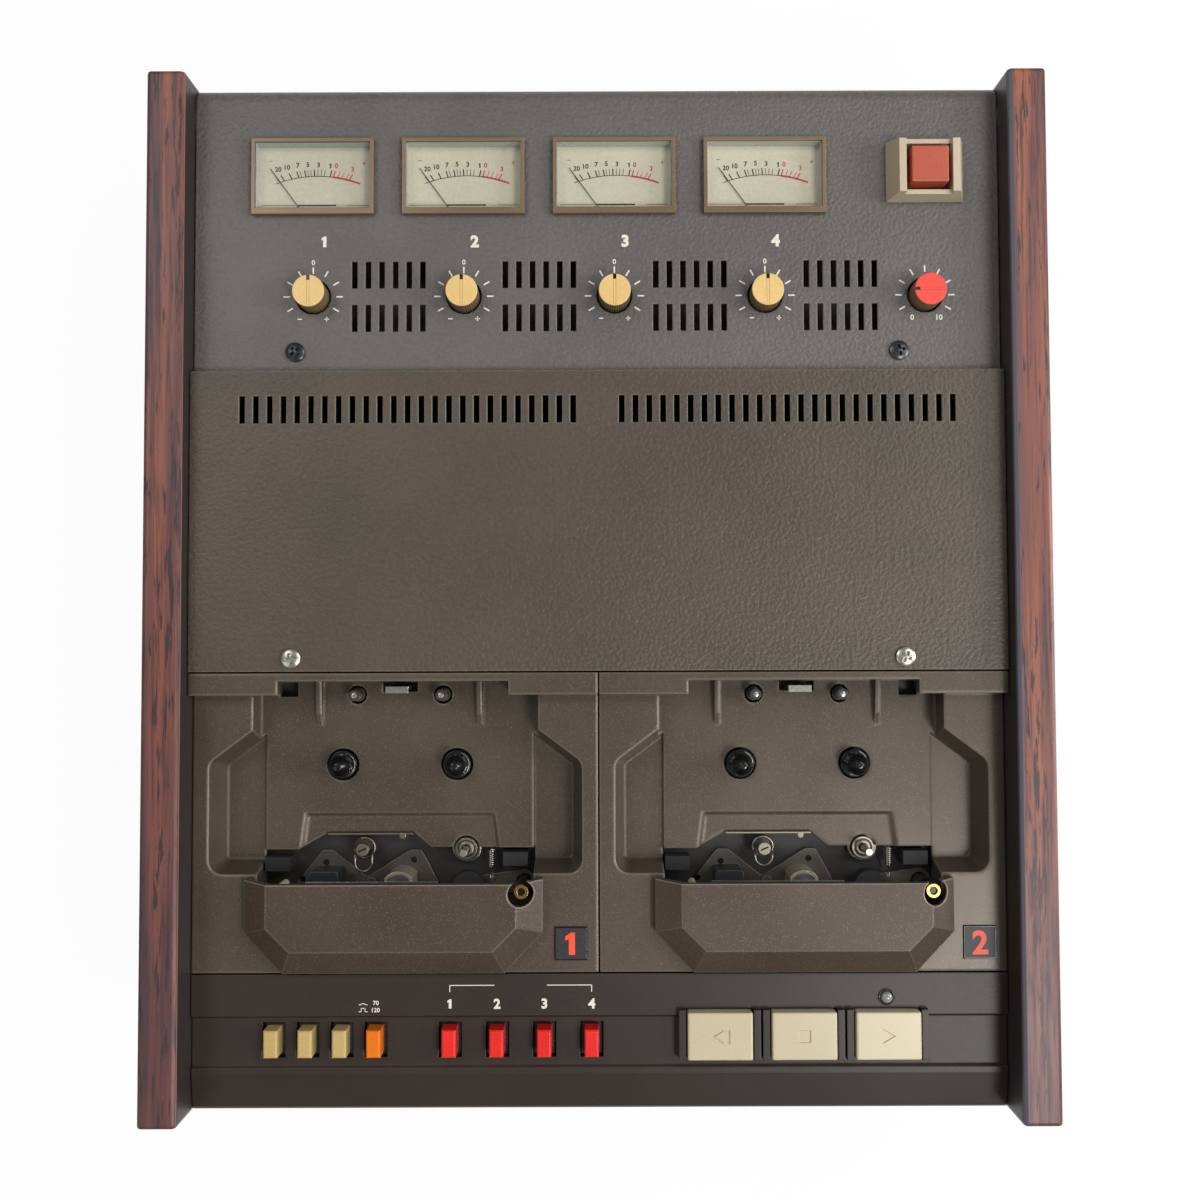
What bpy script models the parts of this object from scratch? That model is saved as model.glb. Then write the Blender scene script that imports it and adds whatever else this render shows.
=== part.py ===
"""Cassette duplicator: a flat desktop copier with a master deck and a slave deck.

The part stands on its feet at Z = 0. X runs along the front from left to right, Y from front to
rear. Most heights are measured from the floor of the cassette wells, where the cassettes lie.
"""

import math

import bmesh
import bpy
from mathutils import Matrix, Vector

MM = 0.001

# Overall size
TOTAL_HEIGHT = 112.0 * MM
CHEEK_THICKNESS = 14.0 * MM
CHEEK_OVERHANG = 1.0 * MM
CHEEK_ROUNDING = 1.6 * MM

# Clearances that every piece uses
GAP = 0.3 * MM
SEAM = 0.6 * MM
OVERRUN = 2.0 * MM
WELD_DISTANCE = 0.01 * MM

# Heights above the floor of the cassette wells
CHEEK_RISE = 24.4 * MM
MID_COVER_RISE = 17.2 * MM
REAR_STRIP_RISE = 16.7 * MM
METER_PANEL_RISE = 13.0 * MM
DECK_RISE = 10.5 * MM
RIM_DROP = 8.0 * MM

# Feet
FOOT_HEIGHT = 8.0 * MM
FOOT_RADIUS = 11.0 * MM
FOOT_TAPER = 1.5 * MM
FOOT_INSET = 30.0 * MM

# Sheet steel and moulded walls
SHEET = 1.2 * MM
WALL = 2.5 * MM
RIM_FLANGE = 8.0 * MM

# Depth of each band of the top, from the front edge to the rear
CONTROL_DEPTH = 49.0 * MM
MID_COVER_DEPTH = 108.9 * MM
METER_PANEL_DEPTH = 106.3 * MM
METER_PANEL_BEND = 6.0 * MM

# Control panel, heights above the well floor and distances from its front edge
LEGEND_RISE = 10.7 * MM
CHANNEL_RISE = 9.0 * MM
RIDGE_RISE = 10.0 * MM
FRONT_EDGE_RISE = 7.4 * MM
CHANNEL_REAR = 34.2 * MM
CHANNEL_FRONT = 16.2 * MM
CHANNEL_SLOPE = 1.0 * MM
RIDGE_FRONT = 13.2 * MM
FRONT_EDGE_ROUNDING = 1.0 * MM

# Small push buttons
BUTTON_WIDTH = 5.1 * MM
BUTTON_DEPTH = 9.7 * MM
BUTTON_RISE = 5.5 * MM
BUTTON_HOLE_WIDTH = 8.4 * MM
BUTTON_HOLE_DEPTH = 12.8 * MM
BUTTON_FROM_FRONT = 25.2 * MM
BUTTON_COLLAR_DROP = 2.0 * MM
BUTTON_COLLAR_HEIGHT = 6.0 * MM
BUTTON_EDGE = 0.5 * MM
MODE_BUTTON_FROM_SIDE = 29.7 * MM
MODE_BUTTON_PITCH = 12.3 * MM
RECORD_BUTTON_LEFT = 54.1 * MM
RECORD_BUTTON_PITCH = 17.1 * MM

# Large keys and the fins beside them
KEY_WIDTH = 23.4 * MM
KEY_DEPTH = 16.9 * MM
KEY_RISE = 14.5 * MM
KEY_SKIRT = 12.0 * MM
KEY_CLEARANCE = 0.5 * MM
KEY_EDGE = 0.6 * MM
KEY_FIRST_X = 43.3 * MM
KEY_PITCH = 30.2 * MM
KEY_FROM_FRONT = 27.5 * MM
FIN_WIDTH = 2.5 * MM
FIN_RISE = 13.0 * MM
SYMBOL_HEIGHT = 5.1 * MM
STOP_SYMBOL_SIZE = 4.3 * MM
PLAY_SYMBOL_LENGTH = 4.5 * MM
REWIND_SYMBOL_LENGTH = 5.2 * MM
CHEVRON_LENGTH = 4.3 * MM
CHEVRON_LEAD = 1.6 * MM
CHEVRON_BAND = 1.2 * MM
SYMBOL_DEPTH = 0.3 * MM
LAMP_HOLE_RADIUS = 2.4 * MM
LAMP_FROM_REAR = 8.6 * MM

# Cassette deck, measured from the line through the two spindles
DECK_REAR_TO_HUBS = 34.4 * MM
HUB_SPACING = 42.5 * MM
HUB_HOLE_RADIUS = 6.0 * MM
WELL_HALF_WIDTH = 52.0 * MM
WELL_HALF_WIDTH_FRONT = 50.5 * MM
WELL_TAPER_START = 10.6 * MM
WELL_TAPER_END = 0.4 * MM
WELL_REAR = 31.5 * MM
WELL_LAP = 2.0 * MM
STRIP_STEP_X = 41.6 * MM
STRIP_FRONT = 26.5 * MM
FLOOR_UNDERSIDE = 3.5 * MM
RIB_X = 29.8 * MM
RIB_WIDTH = 2.0 * MM
RIB_FRONT = 14.6 * MM
RIB_SHOULDER = 19.0 * MM
RIB_SHOULDER_RISE = 2.2 * MM
RIB_REAR_RISE = 3.6 * MM
PIN_X = 16.0 * MM
PIN_Y = 25.9 * MM
PIN_HOLE_RADIUS = 3.55 * MM
LATCH_SLOT_WIDTH = 13.0 * MM
LATCH_SLOT_FRONT = 27.0 * MM
LATCH_SLOT_REAR = 30.6 * MM
SENSE_INNER = 38.2 * MM
SENSE_OUTER = 45.0 * MM
SENSE_FRONT = 25.2 * MM
SENSE_REAR = 30.6 * MM
SENSE_RISE = 13.0 * MM

# Sunken field in front of the spindles
FIELD_DEPTH = 1.3 * MM
FIELD_REAR = 17.8 * MM
FIELD_HALF_REAR = 35.5 * MM
FIELD_HALF_FRONT = 37.6 * MM
FIELD_CHAMFER = 1.7 * MM

# Opening for heads, capstan and pinch roller, distances in front of the spindles
OPENING_LEFT_EDGE = 31.4 * MM
OPENING_MIDDLE_EDGE = 25.4 * MM
OPENING_RIGHT_EDGE = 30.9 * MM
OPENING_LEFT_CORNER = 37.6 * MM
OPENING_LEFT_SHOULDER = 27.0 * MM
OPENING_RIGHT_SHOULDER = 5.0 * MM
OPENING_RIGHT_CORNER = 11.5 * MM
OPENING_BEYOND_CARRIAGE = 2.0 * MM
OPENING_HALF_WIDTH = 50.2 * MM
CAPSTAN_NOTCH_RADIUS = 4.9 * MM

# Finger recesses beside the well
RECESS_DEPTH = 1.5 * MM
RECESS_REAR = 13.6 * MM
RECESS_SHOULDER_X = 66.0 * MM
RECESS_SHOULDER_Y = 3.1 * MM
RECESS_OUTER_X = 68.0 * MM
RECESS_FRONT = 38.7 * MM
RECESS_ROUNDING = 5.2 * MM
RECESS_INNER_X = 49.8 * MM
RECESS_DRAFT = 3.4 * MM

# Head cover, half widths and distances in front of the spindles
COVER_BEYOND_WELL = 1.7 * MM
COVER_CORNER_WIDTH = 13.7 * MM
COVER_CORNER_DEPTH = 14.5 * MM
COVER_REAR = 39.9 * MM
COVER_BEYOND_OPENING = 15.4 * MM
COVER_WALL_RISE = 14.0 * MM
COVER_SLOPE_RISE = 6.0 * MM
COVER_SIDE_SLOPE = 9.2 * MM
COVER_CORNER_SLOPE = 4.0 * MM
COVER_SHOULDER_SLOPE = 3.0 * MM
COVER_FRONT_SLOPE = 9.0 * MM
COVER_REAR_SLOPE = 0.8 * MM
COVER_WALL = 1.8 * MM
COVER_NOTCH_RADIUS = 4.6 * MM
DECK_BEYOND_COVER = 0.6 * MM
DECK_BEYOND_RECESS = 5.7 * MM

# Transport frame under each deck plate
FRAME_BEYOND_PILLARS = 4.0 * MM
FRAME_BEYOND_CARRIAGE = 1.0 * MM
FRAME_BEHIND_WELL = 0.5 * MM
FRAME_TOP_DROP = 6.0 * MM
FRAME_SHEET = 2.0 * MM
PILLAR_RADIUS = 3.5 * MM
PILLAR_INSET = 5.0 * MM
PILLAR_FROM_WHEEL = 4.75 * MM
PILLAR_FROM_FLYWHEEL = 2.7 * MM
PIN_RADIUS = 2.1 * MM
PIN_RISE = 6.5 * MM
PIN_BOSS_RADIUS = 2.6 * MM
PIN_BOSS_DROP = 1.0 * MM
LATCH_WIDTH = 8.3 * MM
LATCH_SHEET = 1.2 * MM
LATCH_Y = 28.6 * MM
LATCH_RISE = 8.0 * MM
LATCH_LIP = 1.8 * MM
GUIDE_X = 13.1 * MM
GUIDE_Y = 30.9 * MM
GUIDE_RING_RADIUS = 4.1 * MM
GUIDE_PIN_RADIUS = 1.5 * MM
GUIDE_RISE = 5.0 * MM
GUIDE_HEAD_RADIUS = 2.4 * MM
GUIDE_HEAD_THICKNESS = 0.8 * MM
GUIDE_RING_DROP = 0.4 * MM
GUIDE_RING_THICKNESS = 1.2 * MM
BUSH_RADIUS = 4.6 * MM
BUSH_TOP_DROP = 3.8 * MM
BUSH_CAP_RADIUS = 4.2 * MM
BUSH_CAP_DROP = 1.4 * MM
PIVOT_X = 46.0 * MM
PIVOT_Y = 44.3 * MM
PIVOT_RADIUS = 2.75 * MM
PIVOT_RISE = 14.5 * MM
BRACKET_WIDTH = 9.0 * MM
BRACKET_DEPTH = 5.0 * MM
BRACKET_RISE = 2.5 * MM
BRACKET_LEFT_X = 45.0 * MM
BRACKET_LEFT_Y = 36.5 * MM
BRACKET_RIGHT_X = 43.0 * MM
BRACKET_RIGHT_Y = 34.8 * MM

# Spindles
SPINDLE_RISE = 10.5 * MM
SPINDLE_TIP_RADIUS = 1.2 * MM
SPINDLE_CONE_RISE = 7.4 * MM
SPINDLE_BODY_RADIUS = 3.9 * MM
SPINDLE_FLANGE_RADIUS = 5.2 * MM
SPINDLE_FLANGE_RISE = 1.2 * MM
SPINDLE_FLANGE_DROP = 1.6 * MM
SPINDLE_SHAFT_RADIUS = 2.0 * MM
REEL_WHEEL_RADIUS = 14.0 * MM
REEL_WHEEL_THICKNESS = 4.0 * MM
REEL_WHEEL_BELOW_FRAME = 1.0 * MM

# Capstan, flywheel, belt and motor
CAPSTAN_X = 24.5 * MM
CAPSTAN_Y = 31.6 * MM
CAPSTAN_RADIUS = 1.25 * MM
CAPSTAN_RISE = 9.0 * MM
FLYWHEEL_RADIUS = 27.5 * MM
FLYWHEEL_THICKNESS = 9.0 * MM
FLYWHEEL_TOP_DROP = 27.0 * MM
CAPSTAN_TAIL = 6.0 * MM
BELT_HEIGHT = 4.0 * MM
BELT_THICKNESS = 0.8 * MM
MOTOR_RADIUS = 18.0 * MM
MOTOR_BEHIND_CAPSTANS = 50.0 * MM
MOTOR_TOP_DROP = 40.0 * MM
MOTOR_EDGE = 2.0 * MM
PULLEY_RADIUS = 5.0 * MM
PULLEY_FLANGE = 1.6 * MM
PULLEY_FLANGE_THICKNESS = 1.0 * MM
MOTOR_SHAFT_RADIUS = 1.5 * MM
MOTOR_SHAFT_DEPTH = 12.0 * MM

# Head carriage
CARRIAGE_SHEET = 1.5 * MM
CARRIAGE_LEFT = 39.0 * MM
CARRIAGE_RIGHT = 13.5 * MM
CARRIAGE_BEYOND_HEADS = 7.8 * MM
LOBE_APEX_Y = 32.4 * MM
LOBE_LEFT_X = 27.7 * MM
LOBE_RIGHT_X = 5.3 * MM
LOBE_TIP = 2.0 * MM
LOBE_SHOULDER_Y = 44.0 * MM
LOBE_VALLEY_X = 13.0 * MM
LOBE_VALLEY_Y = 42.5 * MM
LOBE_ROUNDING = 1.6 * MM
HEAD_TOP_RISE = 8.5 * MM
ERASE_HEAD_X = 26.4 * MM
ERASE_HEAD_WIDTH = 10.0 * MM
ERASE_HEAD_DEPTH = 8.0 * MM
ERASE_HEAD_ROUNDING = 1.0 * MM
RECORD_HEAD_X = 0.8 * MM
RECORD_HEAD_WIDTH = 10.0 * MM
RECORD_HEAD_DEPTH = 10.0 * MM
RECORD_FACE_RADIUS = 6.4 * MM
HEAD_FACE_Y = 38.2 * MM

# Pinch arm and roller
ROLLER_X = 25.8 * MM
ROLLER_Y = 44.9 * MM
ROLLER_RADIUS = 6.0 * MM
ROLLER_RISE = 5.0 * MM
ROLLER_DROP = 1.0 * MM
AXLE_RADIUS = 1.0 * MM
AXLE_RISE = 6.0 * MM
ARM_END_RADIUS = 2.4 * MM
ARM_HUB_RADIUS = 4.4 * MM

# Meters, with places measured from the middle of a bezel
METER_FROM_SIDE = 43.5 * MM
METER_TO_POWER = 58.9 * MM
METER_PLACE_SHARE = 0.677
BEZEL_WIDTH = 44.8 * MM
BEZEL_DEPTH = 28.1 * MM
BEZEL_RISE = 2.4 * MM
BEZEL_BAND = 1.3 * MM
BEZEL_BAND_FRONT = 2.2 * MM
METER_NECK_WALL = 0.7 * MM
METER_BODY_DEPTH = 20.0 * MM
METER_BODY_FRONT = 25.6 * MM
DIAL_DROP = 2.6 * MM
NEEDLE_PIVOT_Y = 18.95 * MM
NEEDLE_LENGTH = 28.4 * MM
NEEDLE_WIDTH = 0.7 * MM
NEEDLE_THICKNESS = 0.4 * MM
NEEDLE_HUB_RADIUS = 2.0 * MM
NEEDLE_POCKET_WIDTH = 16.0 * MM
NEEDLE_POCKET_FRONT = 22.6 * MM
NEEDLE_REST_ANGLE = math.radians(35.5)

# Knobs
KNOB_PLACE_SHARE = 0.2615
KNOB_RADIUS = 5.8 * MM
KNOB_HOLE_RADIUS = 6.6 * MM
KNOB_RISE = 8.0 * MM
KNOB_DISH = 0.6 * MM
KNOB_SKIRT = 3.0 * MM
KNOB_SHAFT_RADIUS = 3.0 * MM
MONITOR_FROM_SIDE = 27.3 * MM

# Vent slots
VENT_WIDTH = 2.1 * MM
VENT_DEPTH = 10.0 * MM
VENT_PITCH = 5.0 * MM
PANEL_VENT_BESIDE_KNOB = 27.7 * MM
PANEL_VENT_ROWS_APART = 16.0 * MM
COVER_VENT_FROM_DECK_CENTRE = 5.2 * MM
COVER_VENT_FROM_REAR = 14.1 * MM

# Power button and its guard
POWER_FROM_SIDE = 27.1 * MM
POWER_PLACE_SHARE = 0.688
POWER_WIDTH = 13.5 * MM
POWER_DEPTH = 13.2 * MM
POWER_RISE = 9.0 * MM
POWER_STEM = 8.0 * MM
POWER_EDGE = 0.5 * MM
GUARD_WIDTH = 28.4 * MM
GUARD_DEPTH = 22.3 * MM
GUARD_RISE = 8.1 * MM
GUARD_BAR_RISE = 6.0 * MM
GUARD_SIDE_DRAFT = 3.2 * MM
GUARD_END_DRAFT = 1.4 * MM
GUARD_OPENING_WIDTH = 16.8 * MM
GUARD_OPENING_DEPTH = 16.9 * MM

# Circuit board under the knobs
BOARD_THICKNESS = 1.6 * MM
BOARD_DROP = 16.0 * MM
BOARD_BEFORE_KNOBS = 17.5 * MM
BOARD_FROM_METERS = 1.0 * MM
BOARD_MARGIN = 14.0 * MM
STUD_RADIUS = 3.0 * MM
STUD_FROM_SIDE = 19.7 * MM
STUD_INSET = 4.0 * MM

# Transformer
CORE_WIDTH = 64.0 * MM
CORE_DEPTH = 44.0 * MM
CORE_HEADROOM = 17.3 * MM
COIL_WIDTH = 40.0 * MM
COIL_DEPTH = 62.0 * MM
COIL_INSET = 8.0 * MM
TRANSFORMER_FROM_SIDE = 59.7 * MM
TRANSFORMER_FROM_REAR = 59.2 * MM

# Rear panel with its sockets
REAR_PANEL_INSET = 4.5 * MM
REAR_PANEL_OVERLAP = 5.0 * MM
REAR_PANEL_SIDE = 2.0 * MM
INLET_FROM_SIDE = 35.7 * MM
INLET_WIDTH = 28.0 * MM
INLET_HEIGHT = 20.0 * MM
INLET_PROUD = 2.5 * MM
INLET_WALL = 2.0 * MM
INLET_CAVITY = 14.0 * MM
SOCKET_LIFT = 2.4 * MM
SOCKET_RADIUS = 4.2 * MM
SOCKET_BORE_RADIUS = 1.8 * MM
SOCKET_PROUD = 4.0 * MM
SOCKET_BORE_DEPTH = 3.6 * MM
SOCKET_FROM_SIDE = 29.7 * MM
SOCKET_PITCH = 18.0 * MM
SOCKET_ROWS_APART = 20.0 * MM

# Counts
SOCKETS_IN_ROW = 4
SLOTS_IN_PANEL_VENT = 6
SLOTS_IN_COVER_VENT = 25
METER_COUNT = 4
MODE_BUTTON_COUNT = 3
RECORD_BUTTON_COUNT = 4
KEY_COUNT = 3
FINE_SIDES = 32
ROUND_SIDES = 20
SMALL_SIDES = 12
HEX_SIDES = 6
CORNER_STEPS = 4
HEAD_FACE_STEPS = 12
RECESS_STEPS = 6
ROLL_STEPS = 8
BEVEL_SEGMENTS = 2
SMOOTH_ANGLE = math.radians(35)
QUARTER_TURN = math.radians(90)

# Places that follow from the sizes above
WELL_FLOOR_Z = TOTAL_HEIGHT - CHEEK_RISE
CARRIAGE_FRONT = HEAD_FACE_Y + RECORD_HEAD_DEPTH + CARRIAGE_BEYOND_HEADS
OPENING_FRONT = CARRIAGE_FRONT + OPENING_BEYOND_CARRIAGE
COVER_FRONT = OPENING_FRONT + COVER_BEYOND_OPENING
COVER_SHOULDER = COVER_FRONT - COVER_CORNER_DEPTH
COVER_HALF_WIDTH = WELL_HALF_WIDTH + COVER_BEYOND_WELL
COVER_HALF_FRONT = COVER_HALF_WIDTH - COVER_CORNER_WIDTH
COVER_TOP_RISE = COVER_WALL_RISE + COVER_SLOPE_RISE
DECK_FRONT = COVER_FRONT + DECK_BEYOND_COVER
DECK_DEPTH = DECK_FRONT + DECK_REAR_TO_HUBS
FRAME_FRONT = CARRIAGE_FRONT + FRAME_BEYOND_CARRIAGE
FRAME_REAR = WELL_REAR - FRAME_BEHIND_WELL
PILLAR_FRONT_X = CAPSTAN_X + FLYWHEEL_RADIUS + PILLAR_FROM_FLYWHEEL
PILLAR_FRONT_Y = FRAME_FRONT - PILLAR_INSET
PILLAR_REAR_X = HUB_SPACING / 2 + REEL_WHEEL_RADIUS + PILLAR_FROM_WHEEL
PILLAR_REAR_Y = FRAME_REAR - PILLAR_INSET
FRAME_HALF_WIDTH = PILLAR_FRONT_X + FRAME_BEYOND_PILLARS
BODY_DEPTH = CONTROL_DEPTH + DECK_DEPTH + MID_COVER_DEPTH + METER_PANEL_DEPTH + 3 * SEAM
CHEEK_LENGTH = BODY_DEPTH + 2 * CHEEK_OVERHANG
FRONT_Y = -BODY_DEPTH / 2
CONTROL_REAR_Y = FRONT_Y + CONTROL_DEPTH
DECK_FRONT_Y = CONTROL_REAR_Y + SEAM
DECK_REAR_Y = DECK_FRONT_Y + DECK_DEPTH
MID_COVER_FRONT_Y = DECK_REAR_Y + SEAM
MID_COVER_REAR_Y = MID_COVER_FRONT_Y + MID_COVER_DEPTH
METER_PANEL_FRONT_Y = MID_COVER_REAR_Y + SEAM
REAR_Y = -FRONT_Y
HUB_LINE_Y = DECK_REAR_Y - DECK_REAR_TO_HUBS
DECK_HALF_WIDTH = RECESS_OUTER_X + DECK_BEYOND_RECESS
DECK_CENTRE_X = SEAM / 2 + DECK_HALF_WIDTH
PANEL_HALF_WIDTH = DECK_CENTRE_X + DECK_HALF_WIDTH
INNER_WIDTH = 2 * (PANEL_HALF_WIDTH + GAP)
SKIRT_BOTTOM = GAP - RIM_DROP
TRAY_UNDERSIDE = FOOT_HEIGHT + GAP - WELL_FLOOR_Z
TRAY_FLOOR = TRAY_UNDERSIDE + SHEET
FRAME_TOP = -FRAME_TOP_DROP
FRAME_UNDERSIDE = FRAME_TOP - FRAME_SHEET
SEAT_ON_FRAME = FRAME_TOP + GAP
CARRIAGE_TOP = SEAT_ON_FRAME + CARRIAGE_SHEET
METER_PANEL_UNDERSIDE = METER_PANEL_RISE - SHEET
BOARD_TOP = METER_PANEL_RISE - BOARD_DROP
DIAL_Z = METER_PANEL_RISE - DIAL_DROP
KNOB_Y = METER_PANEL_FRONT_Y + KNOB_PLACE_SHARE * METER_PANEL_DEPTH
METER_Y = METER_PANEL_FRONT_Y + METER_PLACE_SHARE * METER_PANEL_DEPTH
POWER_Y = METER_PANEL_FRONT_Y + POWER_PLACE_SHARE * METER_PANEL_DEPTH
METER_CASE_TOP = METER_PANEL_UNDERSIDE - GAP
METER_CASE_LOW = METER_CASE_TOP - METER_BODY_DEPTH
METER_CASE_FRONT = METER_Y - METER_BODY_FRONT
BELT_Z = -FLYWHEEL_TOP_DROP - FLYWHEEL_THICKNESS / 2
CAPSTAN_LINE_Y = HUB_LINE_Y - CAPSTAN_Y
DECK_CENTRES = {"master": -DECK_CENTRE_X, "slave": DECK_CENTRE_X}
MOTOR_Y = CAPSTAN_LINE_Y + MOTOR_BEHIND_CAPSTANS
METER_FIRST_X = METER_FROM_SIDE - PANEL_HALF_WIDTH
MONITOR_X = PANEL_HALF_WIDTH - MONITOR_FROM_SIDE
POWER_X = PANEL_HALF_WIDTH - POWER_FROM_SIDE
METER_PITCH = (POWER_X - METER_TO_POWER - METER_FIRST_X) / (METER_COUNT - 1)
KNOB_XS = [METER_FIRST_X + METER_PITCH * index for index in range(METER_COUNT)]
STUD_X = PANEL_HALF_WIDTH - STUD_FROM_SIDE
INLET_X = PANEL_HALF_WIDTH - INLET_FROM_SIDE
COVER_VENT_X = DECK_CENTRE_X - COVER_VENT_FROM_DECK_CENTRE
MODE_BUTTON_FIRST_X = MODE_BUTTON_FROM_SIDE - PANEL_HALF_WIDTH
MODE_BUTTON_XS = [MODE_BUTTON_FIRST_X + MODE_BUTTON_PITCH * index for index in range(MODE_BUTTON_COUNT)]
EQUALISER_BUTTON_X = MODE_BUTTON_XS[-1] + MODE_BUTTON_PITCH
RECORD_BUTTON_XS = [-RECORD_BUTTON_LEFT + RECORD_BUTTON_PITCH * index for index in range(RECORD_BUTTON_COUNT)]
SMALL_BUTTON_XS = MODE_BUTTON_XS + [EQUALISER_BUTTON_X] + RECORD_BUTTON_XS
KEY_XS = [KEY_FIRST_X + KEY_PITCH * index for index in range(KEY_COUNT)]
BUTTON_Y = FRONT_Y + BUTTON_FROM_FRONT
KEY_Y = FRONT_Y + KEY_FROM_FRONT

# Colour as linear RGB, roughness and metallic value of each finish
FINISHES = {
    "rosewood": ((0.19, 0.075, 0.055), 0.45, 0.0),
    "textured_paint": ((0.125, 0.115, 0.105), 0.6, 0.0),
    "bronze_paint": ((0.09, 0.072, 0.06), 0.45, 0.1),
    "black_plastic": ((0.035, 0.034, 0.036), 0.4, 0.0),
    "guard_paint": ((0.19, 0.15, 0.11), 0.45, 0.0),
    "cream_plastic": ((0.62, 0.51, 0.34), 0.4, 0.0),
    "golden_cap": ((0.73, 0.5, 0.2), 0.35, 0.0),
    "needle_paint": ((0.01, 0.01, 0.01), 0.5, 0.0),
    "orange_plastic": ((0.8, 0.22, 0.005), 0.35, 0.0),
    "red_plastic": ((0.75, 0.03, 0.025), 0.35, 0.0),
    "power_red": ((0.6, 0.11, 0.05), 0.35, 0.0),
    "meter_bezel": ((0.32, 0.24, 0.15), 0.4, 0.0),
    "bright_steel": ((0.75, 0.75, 0.74), 0.25, 1.0),
    "grey_steel": ((0.2, 0.2, 0.2), 0.4, 1.0),
    "zinc_steel": ((0.5, 0.5, 0.48), 0.45, 1.0),
    "dark_steel": ((0.06, 0.06, 0.06), 0.4, 0.8),
    "rubber": ((0.02, 0.02, 0.02), 0.85, 0.0),
    "board_green": ((0.03, 0.16, 0.06), 0.5, 0.0),
}


def clear_scene():
    for obj in list(bpy.data.objects):
        bpy.data.objects.remove(obj, do_unlink=True)


def make_collection(name):
    collection = bpy.data.collections.new(name)
    bpy.context.scene.collection.children.link(collection)
    return collection


def make_material(name):
    """A Principled material of one of the finishes, made once."""
    if name in bpy.data.materials:
        return bpy.data.materials[name]
    colour, roughness, metallic = FINISHES[name]
    material = bpy.data.materials.new(name)
    material.use_nodes = True
    shader = material.node_tree.nodes["Principled BSDF"]
    shader.inputs["Base Color"].default_value = (*colour, 1.0)
    shader.inputs["Roughness"].default_value = roughness
    shader.inputs["Metallic"].default_value = metallic
    material.diffuse_color = (*colour, 1.0)
    return material


def make_datum(name, location):
    """An empty that the pieces measured from one point are parented to."""
    datum = bpy.data.objects.new(name, None)
    datum.location = location
    PARTS.objects.link(datum)
    return datum


def place(name, mesh, finish, parent, location=(0, 0, 0)):
    """A visible piece of the part."""
    piece = bpy.data.objects.new(name, mesh)
    if not mesh.materials:
        mesh.materials.append(make_material(finish))
    piece.parent = parent
    piece.location = location
    PARTS.objects.link(piece)
    return piece


def place_tool(name, mesh, parent, location=(0, 0, 0)):
    """A helper solid that a Boolean cuts away or joins on."""
    tool = bpy.data.objects.new(name, mesh)
    tool.parent = parent
    tool.location = location
    tool.hide_render = True
    tool.display_type = "WIRE"
    CUTTERS.objects.link(tool)
    return tool


def combine(piece, tool, operation):
    modifier = piece.modifiers.new(tool.name, "BOOLEAN")
    modifier.operation = operation
    modifier.object = tool


def cut(piece, mesh, location=(0, 0, 0)):
    combine(piece, place_tool("cut_" + mesh.name, mesh, piece.parent, location), "DIFFERENCE")


def join(piece, mesh, location=(0, 0, 0)):
    combine(piece, place_tool("add_" + mesh.name, mesh, piece.parent, location), "UNION")


def round_edges(piece, width, segments=BEVEL_SEGMENTS):
    bevel = piece.modifiers.new("rounded_edges", "BEVEL")
    bevel.width = width
    bevel.segments = segments
    bevel.limit_method = "ANGLE"


def smooth(mesh):
    mesh.shade_smooth()
    mesh.set_sharp_from_angle(angle=SMOOTH_ANGLE)
    return mesh


def rectangle(x_low, x_high, y_low, y_high):
    return [(x_low, y_low), (x_high, y_low), (x_high, y_high), (x_low, y_high)]


def centred_rectangle(x, y, width, depth):
    return rectangle(x - width / 2, x + width / 2, y - depth / 2, y + depth / 2)


def circle(x, y, radius, sides=ROUND_SIDES):
    step = 2 * math.pi / sides
    return [(x + radius * math.cos(step * i), y + radius * math.sin(step * i)) for i in range(sides)]


def mirrored(half):
    """A whole outline from its right half, whose points run from front to rear."""
    return half + [(-x, y) for x, y in reversed(half)]


def offset(points, distance):
    """An outline that runs counter-clockwise, with every edge moved outwards by the distance."""
    moved = []
    for index, point in enumerate(points):
        corner = Vector(point)
        arriving = (corner - Vector(points[index - 1])).normalized()
        leaving = (Vector(points[(index + 1) % len(points)]) - corner).normalized()
        first = Vector((arriving.y, -arriving.x))
        second = Vector((leaving.y, -leaving.x))
        bisector = (first + second).normalized()
        moved.append(tuple(corner + bisector * distance / bisector.dot(first)))
    return moved


def fillet(points, radius, steps=CORNER_STEPS):
    """An outline with each corner turned into an arc of the radius."""
    result = []
    for index, point in enumerate(points):
        corner = Vector(point)
        back = (Vector(points[index - 1]) - corner).normalized()
        ahead = (Vector(points[(index + 1) % len(points)]) - corner).normalized()
        half = back.angle(ahead) / 2
        centre = corner + (back + ahead).normalized() * radius / math.sin(half)
        start = corner + back * radius / math.tan(half) - centre
        end = corner + ahead * radius / math.tan(half) - centre
        first = math.atan2(start.y, start.x)
        sweep = math.remainder(math.atan2(end.y, end.x) - first, 2 * math.pi)
        for step in range(steps + 1):
            angle = first + sweep * step / steps
            result.append((centre.x + radius * math.cos(angle), centre.y + radius * math.sin(angle)))
    return result


def hull(points):
    """The convex hull of some points, counter-clockwise."""
    ordered = sorted(set(points))
    chains = []
    for run in (ordered, ordered[::-1]):
        chain = []
        for point in run:
            while len(chain) > 1 and turn(chain[-2], chain[-1], point) <= 0:
                chain.pop()
            chain.append(point)
        chains.append(chain[:-1])
    return chains[0] + chains[1]


def turn(a, b, c):
    return (b[0] - a[0]) * (c[1] - a[1]) - (b[1] - a[1]) * (c[0] - a[0])


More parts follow.
